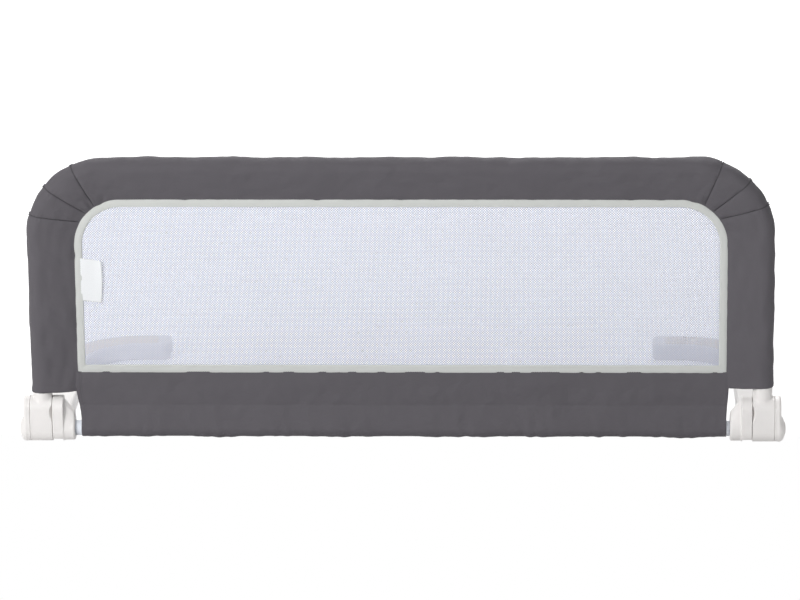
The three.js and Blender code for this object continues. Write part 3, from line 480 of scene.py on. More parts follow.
def steel(name, colour, roughness, metallic, grain=(1, 12, 12)):
    """Drawn or plated steel: fine lines along one axis and a mottled plating."""
    finish = Finish(name, colour, roughness, metallic)
    place = finish.place()
    lines = finish.noise(place, 6 * MM, 3.0, grain)
    mottle = finish.noise(place, 9 * MM, 3.0)
    finish.tint((lines, 0.08), (mottle, 0.08))
    finish.rough(lines, roughness - 0.06, roughness + 0.14)
    finish.relief(lines, 0.01 * MM)
    return finish.material


def knitted(name, colour):
    """Warp-knit net: tiny loops along each strand."""
    finish = Finish(name, colour, 0.8, specular=0.3)
    place = finish.place("cloth")
    loops = finish.math("MULTIPLY_ADD", finish.wave(finish.axes(place)[0], 0.8 * MM), 0.5, 0.5)
    fibre = finish.noise(place, 0.5 * MM, 2.0, (0.3, 1, 1))
    broad = finish.noise(finish.place(), 50 * MM)
    finish.tint((loops, 0.08), (fibre, 0.06), (broad, 0.03))
    finish.relief(loops, 0.08 * MM)
    finish.sheen(0.15)
    return finish.material


looks = {
    "grey_fabric": woven("grey_fabric", (96, 93, 98), 0.62 * MM, 0.10 * MM, 0.68, sheen=0.03),
    "white_net": knitted("white_net", (213, 217, 233)),
    "grey_tape": ribbed_tape("grey_tape", (216, 218, 215), 0.9 * MM, 0.12 * MM),
    "white_tape": woven("white_tape", (244, 246, 248), 0.4 * MM, 0.05 * MM, mottle=0.03),
    "white_plastic": moulded("white_plastic", (245, 242, 240), 0.42),
    "lock_plastic": moulded("lock_plastic", (74, 77, 82), 0.5),
    "cream_rubber": rubber("cream_rubber", (240, 229, 210), 0.7 * MM),
    "sole_rubber": rubber("sole_rubber", (217, 214, 210), 1.1 * MM),
    "coated_steel": steel("coated_steel", (242, 247, 255), 0.34, 0.04),
    "zinc_steel": steel("zinc_steel", (201, 206, 216), 0.32, 0.9),
    "screw_steel": steel("screw_steel", (150, 154, 160), 0.38, 0.9, (6, 6, 6)),
}


# Meshes
def add_piece(name, points, faces, look, body, replaced=(), cloth=()):
    """A mesh of a list or grid of points. `cloth` holds what its textures are laid along, and a
    third value of painted shade along the sleeve's seams.
    """
    points = np.reshape(points, (-1, 3))
    mesh = bpy.data.meshes.new(name)
    mesh.from_pydata(points.tolist(), [], [list(map(int, f)) for f in faces])
    if len(cloth):
        layer = mesh.attributes.new("cloth", "FLOAT_VECTOR", "POINT")
        values = np.zeros(points.shape, dtype=np.float32)
        for axis, lengths in enumerate(cloth):
            values[:, axis] = np.ravel(lengths)
        layer.data.foreach_set("vector", values.ravel())
    mesh.polygons.foreach_set("use_smooth", [True] * len(mesh.polygons))
    mesh.materials.append(looks[look])
    mesh.update()
    piece = bpy.data.objects.new(name, mesh)
    bpy.context.collection.objects.link(piece)
    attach(piece, body)
    if replaced:
        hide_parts(*replaced)
    return piece


def grid_faces(rows, columns, wrap_rows=False, wrap_columns=False):
    """Quads of a grid of points, row by row. Either way round may close on itself."""
    row = np.arange(rows if wrap_rows else rows - 1)
    column = np.arange(columns if wrap_columns else columns - 1)
    row, column = np.meshgrid(row, column, indexing="ij")
    next_row = (row + 1) % rows
    next_column = (column + 1) % columns
    corners = (
        row * columns + column,
        row * columns + next_column,
        next_row * columns + next_column,
        next_row * columns + column,
    )
    return np.stack([c.ravel() for c in corners], axis=1)


def capped_faces(rows, columns, start=0, flip=False):
    """Faces of a row of rings from a starting point number, closed at both ends."""
    faces = (grid_faces(rows, columns, wrap_columns=True) + start).tolist()
    faces.append([start + k for k in reversed(range(columns))])
    faces.append([start + (rows - 1) * columns + k for k in range(columns)])
    return [face[::-1] for face in faces] if flip else faces


def grid_normals(points):
    """Unit normals of a grid of points, from the steps to its neighbours."""
    down = np.gradient(points, axis=0)
    across = np.gradient(points, axis=1)
    normal = np.cross(across, down)
    length = np.linalg.norm(normal, axis=2, keepdims=True)
    return normal / np.maximum(length, 1e-12)


def ripple(u, v, seed, wavelength, waves=9):
    """Smooth unevenness of unit strength: plane waves with seeded directions."""
    random = np.random.default_rng(seed)
    total = np.zeros(np.broadcast(u, v).shape)
    for _ in range(waves):
        angle = random.uniform(0, math.pi)
        length = wavelength * random.uniform(0.6, 1.7)
        phase = random.uniform(0, 2 * math.pi)
        way = u * math.cos(angle) + v * math.sin(angle)
        total += np.sin(2 * math.pi * way / length + phase)
    return total / math.sqrt(waves / 2)


def fade(value, start, end):
    """Rises smoothly from 0 at start to 1 at end."""
    share = np.clip((value - start) / (end - start), 0, 1)
    return share * share * (3 - 2 * share)


def bell(value, width):
    return np.exp(-((value / width) ** 2))


def circle(sides):
    """Angles of evenly spread points round a circle."""
    return np.linspace(0, 2 * math.pi, sides, endpoint=False)


def thicken(piece, thickness, offset=-1):
    solidify = piece.modifiers.new("thickness", "SOLIDIFY")
    solidify.thickness = thickness
    solidify.offset = offset


# Solids as signed distances, negative inside, skinned by a mesh
def joined(first, second, blend=0.0):
    """Union of two distances, with a fillet of about a quarter of the blend."""
    if not blend:
        return np.minimum(first, second)
    share = np.clip(0.5 + 0.5 * (second - first) / blend, 0, 1)
    return second + (first - second) * share - blend * share * (1 - share)


def carved(first, second, blend=0.0):
    return -joined(-first, second, blend)


def common(first, second, blend=0.0):
    return -joined(-first, -second, blend)


def both(first, second):
    """Distance to where two distances at right angles are both negative, round at its corner."""
    outside = np.hypot(np.maximum(first, 0), np.maximum(second, 0))
    return np.minimum(np.maximum(first, second), 0) + outside


def extruded(outline, place, low, high, edge=0.0):
    """A flat outline's distance drawn out between two places, with rounded edges."""
    return both(outline + edge, np.abs(place - (low + high) / 2) - (high - low) / 2 + edge) - edge


def rectangle(u, v, low_u, high_u, low_v, high_v, edge=0.0):
    return extruded(np.abs(u - (low_u + high_u) / 2) - (high_u - low_u) / 2, v, low_v, high_v, edge)


def cell_corners(values, axis, side):
    index = [slice(None)] * 3
    index[axis] = slice(None, -1) if side == 0 else slice(1, None)
    return values[tuple(index)]


RING = ((1, 1), (0, 1), (0, 0), (1, 0))  # the cells round an edge


def skin(distance, low, high, step, spare=2 * MM):
    """Points and quads on the zero surface of a distance, by naive surface nets."""
    low = [v - spare for v in low]
    high = [v + spare for v in high]
    counts = [int(math.ceil((h - l) / step)) + 1 for l, h in zip(low, high)]
    axes = [l + step * np.arange(n) for l, n in zip(low, counts)]
    values = distance(*np.meshgrid(*axes, indexing="ij"))
    cells = tuple(n - 1 for n in counts)
    total = np.zeros(cells + (3,))
    hits = np.zeros(cells)
    crossings = []
    for axis in range(3):
        first = cell_corners(values, axis, 0)
        second = cell_corners(values, axis, 1)
        crosses = (first < 0) != (second < 0)
        share = np.where(crosses, first / np.where(crosses, first - second, 1), 0)
        crossings.append((crosses, first < 0))
        a, b = [k for k in range(3) if k != axis]
        for shift_a, shift_b in RING:
            index = [slice(None)] * 3
            index[a] = slice(shift_a, shift_a + cells[a])
            index[b] = slice(shift_b, shift_b + cells[b])
            hit = crosses[tuple(index)]
            hits += hit
            total[..., axis] += share[tuple(index)]
            total[..., a] += hit * shift_a
            total[..., b] += hit * shift_b
    used = hits > 0
    number = np.full(cells, -1)
    number[used] = np.arange(used.sum())
    corner = np.argwhere(used)
    points = corner + total[used] / hits[used][:, None]
    points = np.asarray(low) + step * points
    faces = []
    for axis, (crosses, starts_inside) in enumerate(crossings):
        a, b = [k for k in range(3) if k != axis]
        at = np.argwhere(crosses)
        keep = (at[:, a] > 0) & (at[:, a] < cells[a]) & (at[:, b] > 0) & (at[:, b] < cells[b])
        at = at[keep]
        ring = []
        for shift_a, shift_b in RING:
            cell = at.copy()
            cell[:, a] -= shift_a
            cell[:, b] -= shift_b
            ring.append(number[tuple(cell.T)])
        quads = np.stack(ring, axis=1)
        inside = starts_inside[tuple(at.T)]
        flip = inside if axis != 1 else ~inside
        quads[~flip] = quads[~flip][:, ::-1]
        faces.append(quads)
    return settle(distance, points, step), np.concatenate(faces)


def settle(distance, points, step, rounds=3):
    """Moves points onto the zero surface along the distance's slope."""
    probe = 0.02 * step
    for _ in range(rounds):
        value = distance(*points.T)
        slope = np.stack([
            (distance(*(points + probe * axis).T) - value) / probe for axis in np.eye(3)
        ], axis=1)
        square = np.maximum((slope**2).sum(axis=1), 0.25)
        move = np.clip(value / square, -0.5 * step, 0.5 * step)
        points = points - move[:, None] * slope
    return points


def add_pair(name, made, look, body, replaced):
    """A piece and its mirror image: `made` holds the right one's points and faces."""
    points, faces = made
    pair = []
    for side, sign in SIDES:
        turned = faces if sign > 0 else [face[::-1] for face in faces]
        rides = body if body in ("base", "guard") else f"{side}_{body}"
        pair.append(add_piece(
            f"{side}_{name}", points * (sign, 1, 1), turned, look, rides, [f"{side}_{replaced}"]
        ))
    return pair


def head_outline(y, z, radius):
    """A hinge piece from the side: round below about the axis and round on top."""
    return np.hypot(y - HINGE_Y, z - np.clip(z, AXIS_Z, HEAD_TOP)) - radius


def from_axis(y, z):
    return np.hypot(y - HINGE_Y, z - AXIS_Z)


# Fields with a slant grow faster than the distance does, so a share brings them down
def toothed(y, z, grow):
    """Outline of the socket round the lock disc."""
    tip = (gear_high.z - gear_low.z) / 2 + grow
    turn = np.arctan2(z - AXIS_Z, y - HINGE_Y) * GEAR_TEETH / (2 * math.pi)
    phase = np.abs((turn + 0.5) % 1 - 0.5)
    rise = np.clip((TOOTH_ROOT_SHARE - phase) / TOOTH_FLANK_SHARE, 0, 1)
    slope_share = 0.7
    return slope_share * (from_axis(y, z) - (tip - TOOTH_HEIGHT + TOOTH_HEIGHT * rise))


def from_cover_screw(y, z):
    return np.hypot(np.abs(y - HINGE_Y) - COVER_SCREW_Y, z - COVER_SCREW_Z)


def cover_screw_holes(x, y, z):
    """Counterbored holes of the two screws that hold the cover."""
    away = from_cover_screw(y, z)
    head_x = cover_high.x - BOSS_HEIGHT
    tip_x = head_x - COVER_SCREW_LENGTH - 1 * MM
    shank = extruded(away - SCREW_BORE, x, tip_x, head_x + PAST)
    return joined(shank, extruded(away - SCREW_SEAT, x, head_x - SCREW_SEAT_DEPTH, head_x + PAST))


def button_legs(y, z, radius):
    nearest = np.inf
    for leg in range(LEGS):
        angle = 2 * math.pi * (leg + LEG_TURN_SHARE) / LEGS
        leg_y = HINGE_Y + LEG_CIRCLE * math.cos(angle)
        leg_z = AXIS_Z + LEG_CIRCLE * math.sin(angle)
        nearest = np.minimum(nearest, np.hypot(y - leg_y, z - leg_z) - radius)
    return nearest


def hinge_body(x, y, z):
    head = extruded(head_outline(y, z, HEAD_RADIUS), x, body_low.x, body_high.x, BODY_EDGE)
    post = np.hypot(x - POST_X, y - HINGE_Y)
    stub = extruded(post - STUB_RADIUS, z, HEAD_TOP - STUB_ROOT, STUB_TOP, STUB_EDGE)
    whole = joined(head, stub, STUB_FILLET)
    collar = extruded(
        post - STUB_RADIUS, z, STUB_TOP - COLLAR_ROOT, STUB_TOP + COLLAR, COLLAR_EDGE
    )
    whole = joined(whole, carved(collar, extruded(post - COLLAR_BORE, z, STUB_TOP, 1)))
    whole = np.maximum(whole, np.maximum(body_low.x - x, x - body_high.x))
    spigot = extruded(post - SPIGOT_RADIUS, z, STUB_TOP - SPIGOT_ROOT, body_high.z, STUB_EDGE)
    whole = joined(whole, spigot)
    whole = carved(whole, extruded(post - SPIGOT_BORE, z, HEAD_TOP, body_high.z + PAST))
    scoop = SCOOP_DEPTH * (1 - ((z - SCOOP_Z) / SCOOP_HALF) ** 2)
    scoop = scoop - SCOOP_FALL * np.maximum(y - (HINGE_Y - HEAD_RADIUS), 0)
    slope_share = 0.85
    whole = carved(whole, slope_share * (x - body_low.x - scoop), 1 * MM)
    web = body_low.x + BODY_SOCKET
    for cut in (
        extruded(toothed(y, z, BODY_SOCKET_GAP), x, body_low.x - PAST, web),
        extruded(from_axis(y, z) - CAVITY_RADIUS, x, web + WEB, body_high.x + PAST),
        from_axis(y, z) - BOLT_HOLE,
        extruded(button_legs(y, z, LEG_HOLE), x, web - 1 * MM, web + 5 * MM),
        cover_screw_holes(x, y, z),
    ):
        whole = carved(whole, cut)
    return whole


def hinge_cover(x, y, z):
    plate_x = cover_high.x - BOSS_HEIGHT
    outline = head_outline(y, z, HEAD_RADIUS)
    plate = extruded(outline, x, cover_low.x - 4 * MM, plate_x, COVER_EDGE)
    plate = common(plate, cover_low.x - x)
    swell = np.clip((from_axis(y, z) - BOSS_FLAT) / BOSS_FALL, 0, 1.2)
    slope_share = 0.8
    boss = slope_share * (x - (plate_x + (BOSS_HEIGHT + BOSS_CROWN) * (1 - swell**2)))
    boss = np.maximum(boss, cover_low.x + 4 * MM - x)
    whole = joined(plate, common(boss, outline, COVER_EDGE), BOSS_FILLET)
    hollow = extruded(outline + COVER_WALL, x, cover_low.x - PAST, plate_x - COVER_WALL)
    inner = from_axis(y, z) - COVER_INNER
    inner = extruded(inner, x, cover_low.x - PAST, cover_high.x - COVER_WALL)
    whole = carved(whole, joined(hollow, inner))
    pillar = extruded(from_cover_screw(y, z) - PILLAR_RADIUS, x, cover_low.x, plate_x - 1 * MM)
    whole = joined(whole, common(pillar, outline + PILLAR_INSET))
    whole = carved(whole, from_axis(y, z) - COVER_BORE, 1 * MM)
    return carved(whole, cover_screw_holes(x, y, z))


def release_button(x, y, z):
    away = from_axis(y, z)
    crown = button_high.x - BUTTON_DOME * np.clip(away / BUTTON_RADIUS, 0, 1.2) ** 2
    flange_high = cover_high.x - COVER_WALL - FIT
    back = flange_high - BUTTON_SKIRT
    cap = extruded(away - BUTTON_RADIUS, x, back, button_high.x + 1 * MM)
    cap = common(cap, x - crown, BUTTON_EDGE)
    flange = extruded(away - FLANGE_RADIUS, x, flange_high - FLANGE, flange_high, 0.3 * MM)
    legs = extruded(button_legs(y, z, LEG_RADIUS), x, gear_high.x + FIT, back + LEG_ROOT)
    return joined(joined(cap, flange), legs)


def arm_section(x, z, half, low, high, edge):
    """Flat below, with rounded upper edges."""
    return rectangle(x, z, ARM_X - half, ARM_X + half, low - 2 * edge, high, edge)


def tapered_outline(y, z, height):
    """The dome from the side: a wide round about the axis and a narrow one above it."""
    y = np.abs(y - HINGE_Y)
    z = z - AXIS_Z
    lean = (DOME_RADIUS - DOME_TOP_RADIUS) / height
    upright = np.sqrt(1 - lean * lean)
    along = upright * z - lean * y
    side = upright * y + lean * z - DOME_RADIUS
    below = np.hypot(y, z) - DOME_RADIUS
    above = np.hypot(y, z - height) - DOME_TOP_RADIUS
    return np.where(along < 0, below, np.where(along > upright * height, above, side))


def base_bracket(x, y, z):
    rim_high = body_low.x - RIM_GAP
    rim_low = rim_high - RIM_WIDTH
    rim = extruded(head_outline(y, z, HEAD_RADIUS), x, rim_low, rim_high, RIM_EDGE)
    run = np.clip((rim_low - x) / (rim_low - bracket_low.x), 0, 1)
    dome = tapered_outline(y, z, DOME_TOPS[0] + (DOME_TOPS[1] - DOME_TOPS[0]) * run)
    slope_share = 0.7
    dome = slope_share * extruded(dome, x, bracket_low.x, rim_high - DOME_ROOT, DOME_EDGE)
    whole = joined(rim, dome, 1 * MM)
    section = arm_section(x, z, ARM_WIDTH / 2, TAIL_LIFT, shell_high.z, ARM_EDGE)
    tail_high = bracket_high.y
    tail = extruded(section, y, HINGE_Y + TAIL_START, tail_high + 2 * ARM_EDGE)
    tail = common(common(tail, y - tail_high), TAIL_LIFT - z)
    swing = rectangle(x, y, rim_high, ARM_X + ARM_WIDTH, HINGE_Y - 0.1, HINGE_Y + SWING)
    whole = joined(whole, carved(tail, swing, 1 * MM), TAIL_FILLET)
    whole = common(whole, -z)
    notch = rectangle(
        x, z, rim_low + NOTCH_INSET, rim_high + PAST, -PAST, NOTCH_HEIGHT, 1 * MM
    )
    notch = common(notch, np.abs(y - HINGE_Y) - HEAD_RADIUS)
    gear = extruded(
        toothed(y, z, GEAR_SOCKET_GAP), x, rim_high - GEAR_SOCKET, rim_high + PAST
    )
    lower_tube = extruded(
        from_axis(y, z) - TUBE_SOCKET_RADIUS, x, bracket_low.x - PAST, bracket_low.x + TUBE_SOCKET
    )
    tube = np.hypot(x - ARM_X, z - ARM_TUBE_Z) - ARM_TUBE_RADIUS - FIT
    arm_tube = extruded(tube, y, HINGE_Y + ARM_SOCKET, tail_high + PAST)
    for cut, edge in (
        (notch, 0), (gear, 0), (lower_tube, SOCKET_EDGE), (from_axis(y, z) - BOLT_HOLE, 0),
        (arm_tube, SOCKET_EDGE),
    ):
        whole = carved(whole, cut, edge)
    return whole


def arm_side(x, y):
    """Distance sideways from the arm's middle line."""
    straight = np.abs(x - ARM_X)
    bend = np.abs(np.hypot(x - ARM_BEND_X, y - ARM_BEND_Y) - ARM_BEND)
    inward = np.abs(y - (ARM_BEND_Y + ARM_BEND))
    return np.where(y < ARM_BEND_Y, straight, np.where(x > ARM_BEND_X, bend, inward))


def arm_plan(x, y, half, start_y, end_x, edge):
    """A strip along the arm from above, square at its start and round at its inward end."""
    flat = arm_side(x, y) - half
    plan = np.where(x < ARM_BEND_X, both(flat + edge, end_x - x + edge) - edge, flat)
    return np.where(y < ARM_BEND_Y, np.maximum(plan, start_y - y), plan)


def arm_rib(x, y):
    """Cross ribs that clip on the tube: evenly along the straight part and round the bend."""
    run = (ARM_BEND_Y - shell_low.y) / RIBS
    offset = np.abs(((y - shell_low.y) / run % 1) - 0.5) * run
    straight = np.where(y < ARM_BEND_Y, offset, 1)
    turn = np.arctan2(y - ARM_BEND_Y, x - ARM_BEND_X)
    away = np.hypot(x - ARM_BEND_X, y - ARM_BEND_Y)
    bend = np.min([np.abs(turn - share * math.pi / 2) for share in BEND_RIB_SHARES], axis=0) * away
    bend = np.where((y >= ARM_BEND_Y) & (x > ARM_BEND_X), bend, 1)
    return np.minimum(straight, bend) - RIB_HALF


def arm_shell(x, y, z):
    half = ARM_WIDTH / 2
    top = shell_high.z
    outline = arm_plan(x, y, half, shell_low.y, shell_low.x, ARM_END_EDGE)
    block = extruded(outline, z, -2 * ARM_EDGE, top, ARM_EDGE)
    start = np.maximum(arm_section(x, z, half, 0, top, ARM_EDGE), shell_low.y - y)
    block = np.where(y < shell_low.y + ARM_EDGE, start, block)
    block = common(block, ARM_LIFT - z)
    inner = arm_plan(
        x, y, half - ARM_WALL, shell_low.y - PAST, shell_low.x + ARM_WALL, ARM_END_EDGE - ARM_WALL
    )
    hollow = np.maximum(inner, z - (top - ARM_WALL))
    side = arm_side(x, y)
    channel = joined(np.hypot(side, z - ARM_TUBE_Z), np.where(z < ARM_TUBE_Z, side, 1))
    hollow = carved(hollow, np.maximum(arm_rib(x, y), RIB_LIFT - z))
    whole = carved(block, joined(hollow, channel - ARM_TUBE_RADIUS - FIT))
    recess = arm_plan(
        x, y, STRIP_HALF + FIT, strip_low.y - FIT, strip_low.x - FIT, STRIP_CORNER
    )
    return carved(whole, np.maximum(recess, top - STRIP_RECESS - z), 0.4 * MM)


def grip_strip(x, y, z):
    plan = arm_plan(x, y, STRIP_HALF, strip_low.y, strip_low.x, STRIP_CORNER)
    ribs = RIDGE * np.cos(2 * math.pi * arm_side(x, y) / RIDGE_PITCH)
    ribs = ribs * fade(-plan, 1.2 * MM, 2.6 * MM)
    top = z - (strip_high.z - 0.25 * MM + ribs)
    return np.maximum(common(plan, top, STRIP_EDGE), strip_low.z - z)


def foot_sole(x, y, z):
    plan = arm_plan(x, y, ARM_WIDTH / 2 - SOLE_INSET, sole_low.y, sole_low.x, SOLE_CORNER)
    pad = extruded(plan, z, -2 * MM, sole_high.z, 0.5 * MM)
    tread = np.abs(((x + y) / TREAD_PITCH) % 1 - 0.5) * TREAD_PITCH / math.sqrt(2) - TREAD_HALF
    groove = np.maximum(np.maximum(tread, z - TREAD_DEPTH), plan + 2.5 * MM)
    return carved(np.maximum(pad, -z), groove)


def add_plastics():
    plastic = "white_plastic"
    for name, distance, low, high, step, look, body in (
        ("hinge_body", hinge_body, body_low, body_high, 0.61, plastic, "guard"),
        ("hinge_cover", hinge_cover, cover_low, cover_high, 0.6, plastic, "guard"),
        ("release_button", release_button, button_low, button_high, 0.5, plastic, "button"),
        ("base_bracket", base_bracket, bracket_low, bracket_high, 0.55, plastic, "base"),
        ("arm_shell", arm_shell, shell_low, shell_high, 1.2, plastic, "base"),
        ("grip_strip", grip_strip, strip_low, strip_high, 0.54, "cream_rubber", "base"),
        ("foot_sole", foot_sole, sole_low, sole_high, 1.0, "sole_rubber", "base"),
    ):
        made = skin(distance, low, high, step * MM)
        add_pair(f"{name}_moulding", made, look, body, name)


# Screws: a pan head with a cross recess
SCREW_HEAD_RADIUS = 3 * MM
SCREW_HEAD = 2 * MM
SCREW_HEAD_EDGE = 0.6 * MM
SCREW_SHANK = 1.45 * MM
THREAD = 0.22 * MM
THREAD_PITCH = 1.2 * MM
CROSS_REACH = 2 * MM
CROSS_HALF = 0.4 * MM
CROSS_DEPTH = 1.1 * MM
SCREW_STEP = 0.25 * MM


def add_screw(node, body, head, direction, length):
    direction = Vector(direction)
    side = direction.orthogonal().normalized()
    other = direction.cross(side)

    def distance(x, y, z):
        offset = (x - head[0], y - head[1], z - head[2])
        along, u, v = (
            sum(o * d for o, d in zip(offset, axis)) for axis in (direction, side, other)
        )
        away = np.hypot(u, v)
        cap_high = SCREW_HEAD + SCREW_HEAD_EDGE
        cap = extruded(away - SCREW_HEAD_RADIUS, along, 0, cap_high, SCREW_HEAD_EDGE)
        cap = common(cap, along - SCREW_HEAD)
        thread = THREAD * np.sin(2 * math.pi * along / THREAD_PITCH + np.arctan2(v, u))
        shank = extruded(away - SCREW_SHANK - thread, along, 1 * MM, length, 0.5 * MM)
        cross = joined(
            rectangle(u, v, -CROSS_REACH, CROSS_REACH, -CROSS_HALF, CROSS_HALF),
            rectangle(u, v, -CROSS_HALF, CROSS_HALF, -CROSS_REACH, CROSS_REACH),
        )
        return carved(joined(cap, shank), np.maximum(cross, along - CROSS_DEPTH))

    points, faces = skin(distance, *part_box(node), SCREW_STEP, 1 * MM)
    add_piece(f"{node}_fine", points, faces, "screw_steel", body, [node])


def add_screws():
    for side, sign in SIDES:
        head_x = sign * (cover_high.x - BOSS_HEIGHT)
        for place, way in (("front", -1), ("rear", 1)):
            head = (head_x, HINGE_Y + way * COVER_SCREW_Y, COVER_SCREW_Z)
            add_screw(
                f"{side}_{place}_cover_screw", "guard", head, (-sign, 0, 0), COVER_SCREW_LENGTH
            )
        for name, body, direction in (
            (f"{side}_post_screw", "guard", (0, -1, 0)),
            (f"{side}_arm_screw", "base", (0, 0, 1)),
        ):
            low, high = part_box(name)
            run = (high - low).dot(Vector([abs(d) for d in direction]))
            head = (low + high) / 2 - Vector(direction) * run / 2
            add_screw(name, body, head, direction, run)


# Tubes and springs
TUBE_SIDES = 36
SPRING_WIRE = 0.7 * MM
SPRING_TURNS = 4
SPRING_STEPS = 40  # in a turn
SPRING_SIDES = 12


def at_hinge(x, z):
    """Points in the guard's middle plane."""
    x, z = np.broadcast_arrays(x, z)
    return np.stack([x, np.full(x.shape, HINGE_Y), z], axis=1)


def directions(middle):
    ahead = np.gradient(middle, axis=0)
    return ahead / np.linalg.norm(ahead, axis=1, keepdims=True)


def rings(middle, first, second, radii, sides):
    """A ring of points about each middle point, in the plane of two directions."""
    turn = circle(sides)[None, :, None]
    ring = np.cos(turn) * first[:, None] + np.sin(turn) * second[:, None]
    return middle[:, None] + np.broadcast_to(radii, len(middle))[:, None, None] * ring


def swept_tube(middle, radii, wall, up):
    """An open-ended tube along points, its outer wall out and its inner wall back."""
    ahead = directions(middle)
    across = np.cross(ahead, up)
    across /= np.linalg.norm(across, axis=1, keepdims=True)
    upright = np.cross(across, ahead)
    outer = rings(middle, across, upright, radii, TUBE_SIDES)
    inner = rings(middle, across, upright, np.subtract(radii, wall), TUBE_SIDES)
    points = np.concatenate([outer, inner[::-1]])
    faces = grid_faces(len(points), TUBE_SIDES, wrap_rows=True, wrap_columns=True)
    return points, faces[:, ::-1]


def bent_line(start, bend, radius, end, steps=14, run_steps=12):
    """Points in a plane: straight to a quarter bend about a centre, then straight to the end."""
    turn = np.linspace(0, math.pi / 2, steps)
    arc = np.asarray(bend) + radius * np.stack([np.cos(turn), np.sin(turn)], axis=1)
    first = np.linspace(start, arc[0], run_steps, endpoint=False)
    last = np.linspace(arc[-1], end, run_steps + 1)[1:]
    return np.concatenate([first, arc, last])


def add_tubes():
    steel = "coated_steel"
    line = bent_line(
        (POST_X, frame_tube_low.z), (CORNER_X, CORNER_Z), BEND_RADIUS, (frame_tube_low.x, TOP_Z)
    )
    made = swept_tube(at_hinge(*line.T), FRAME_TUBE_RADIUS, TUBE_WALL, (0, 1, 0))
    add_pair("frame_tube_fine", made, steel, "guard", "frame_tube")

    places = np.array([0, SWAGE, SWAGE + SWAGE_CONE])
    half = top_tube_high.x
    x = np.concatenate([-half + places, (half - places)[::-1]])
    thin = FRAME_TUBE_RADIUS - TUBE_WALL - FIT
    radii = [thin, thin, FRAME_TUBE_RADIUS, FRAME_TUBE_RADIUS, thin, thin]
    made = swept_tube(at_hinge(x, TOP_Z), radii, TUBE_WALL, (0, 0, 1))
    add_piece("top_tube_fine", *made, steel, "guard", ["top_tube"])

    x = np.linspace(lower_tube_low.x, lower_tube_high.x, 13)
    made = swept_tube(at_hinge(x, AXIS_Z), LOWER_TUBE_RADIUS, TUBE_WALL, (0, 0, 1))
    add_piece("lower_tube_fine", *made, steel, "base", ["lower_tube"])

    line = bent_line(
        (ARM_X, arm_tube_low.y), (ARM_BEND_X, ARM_BEND_Y), ARM_BEND,
        (arm_tube_low.x, ARM_BEND_Y + ARM_BEND),
    )
    middle = np.column_stack([line, np.full(len(line), ARM_TUBE_Z)])
    made = swept_tube(middle, ARM_TUBE_RADIUS, ARM_TUBE_WALL, (0, 0, 1))
    add_pair("arm_tube_fine", made, "zinc_steel", "base", "arm_tube")


def add_springs():
    share = np.linspace(0, 1, SPRING_TURNS * SPRING_STEPS + 1)
    angle = 2 * math.pi * SPRING_TURNS * share
    low = spring_low.x + SPRING_WIRE
    high = spring_high.x - SPRING_WIRE
    coil = (spring_high.z - spring_low.z) / 2 - SPRING_WIRE
    out = np.stack([0 * angle, np.cos(angle), np.sin(angle)], axis=1)
    middle = at_hinge(low + (high - low) * share, AXIS_Z) + coil * out
    wire = rings(middle, out, np.cross(directions(middle), out), SPRING_WIRE, SPRING_SIDES)
    made = wire, capped_faces(len(share), SPRING_SIDES)
    pair = add_pair("lock_spring_fine", made, "zinc_steel", "base", "lock_spring")
    for spring, (side, sign) in zip(pair, SIDES):
        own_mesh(spring)


# Fabric sleeve. Its path runs up the right post, over the top and down the left post
POST_RUN = CORNER_Z - SLEEVE_BOTTOM
BEND_RUN = BEND_RADIUS * math.pi / 2
HALF_PATH = POST_RUN + BEND_RUN + CORNER_X
FAN_POST = 120 * MM  # over which the sections turn level again below a corner
FAN_TOP = 200 * MM  # and upright again beside it
RIGHT_PLACES = [POST_RUN + BEND_RADIUS * angle for angle in RIGHT_SEAMS]
LEFT_PLACES = [2 * HALF_PATH - POST_RUN - BEND_RADIUS * angle for angle in LEFT_SEAMS]
SEAM_PLACES = RIGHT_PLACES + LEFT_PLACES
# The two post covers end at slightly different heights, as in the photograph
RIGHT_HEM = 2 * MM
LEFT_HEM = -3 * MM
RIGHT_TILT = 3 * MM
TUBE_CLEARANCE = 0.15 * MM
SLEEVE_SLACK = SLEEVE_RADIUS - FRAME_TUBE_RADIUS - CLOTH_THICKNESS - TUBE_CLEARANCE
# Unevenness of the cloths and the net: strength in mm, seed and wavelength in mm
SLEEVE_WAVES = ((0.42, 3, 120), (0.22, 5, 38), (0.10, 7, 13))
SLEEVE_CREASES = ((0.22, 11, 17),)
PANEL_WAVES = ((0.5, 21, 95), (0.25, 23, 30), (0.09, 25, 11))
PANEL_GATHERS = ((0.35, 27, 24),)
NET_SWAY = ((0.35, 41, 120),)
PUFF = 1.2 * MM  # of the cloth off its straight sides
CORNER_PUFF = 1.1 * MM  # of each gore between its seams
CORNER_PULL = 1.3 * MM  # inwards of the gores' outer side
SEAM_DENTS = ((1.0 * MM, 3.0 * MM), (0.6 * MM, 0.9 * MM))  # depth and half width
PUCKER = 0.25 * MM
PUCKER_PITCH = 5.5 * MM
NIB = 1.9 * MM  # that a seam's folded edge stands up at the outermost line
ROUND_COLUMNS = 30
FLAT_COLUMNS = 28
ROW_STEP = 2.4 * MM
SEAM_ROWS = (0.35, 0.7, 1.05, 1.4, 1.9, 2.6, 3.5)  # beside a seam, in mm


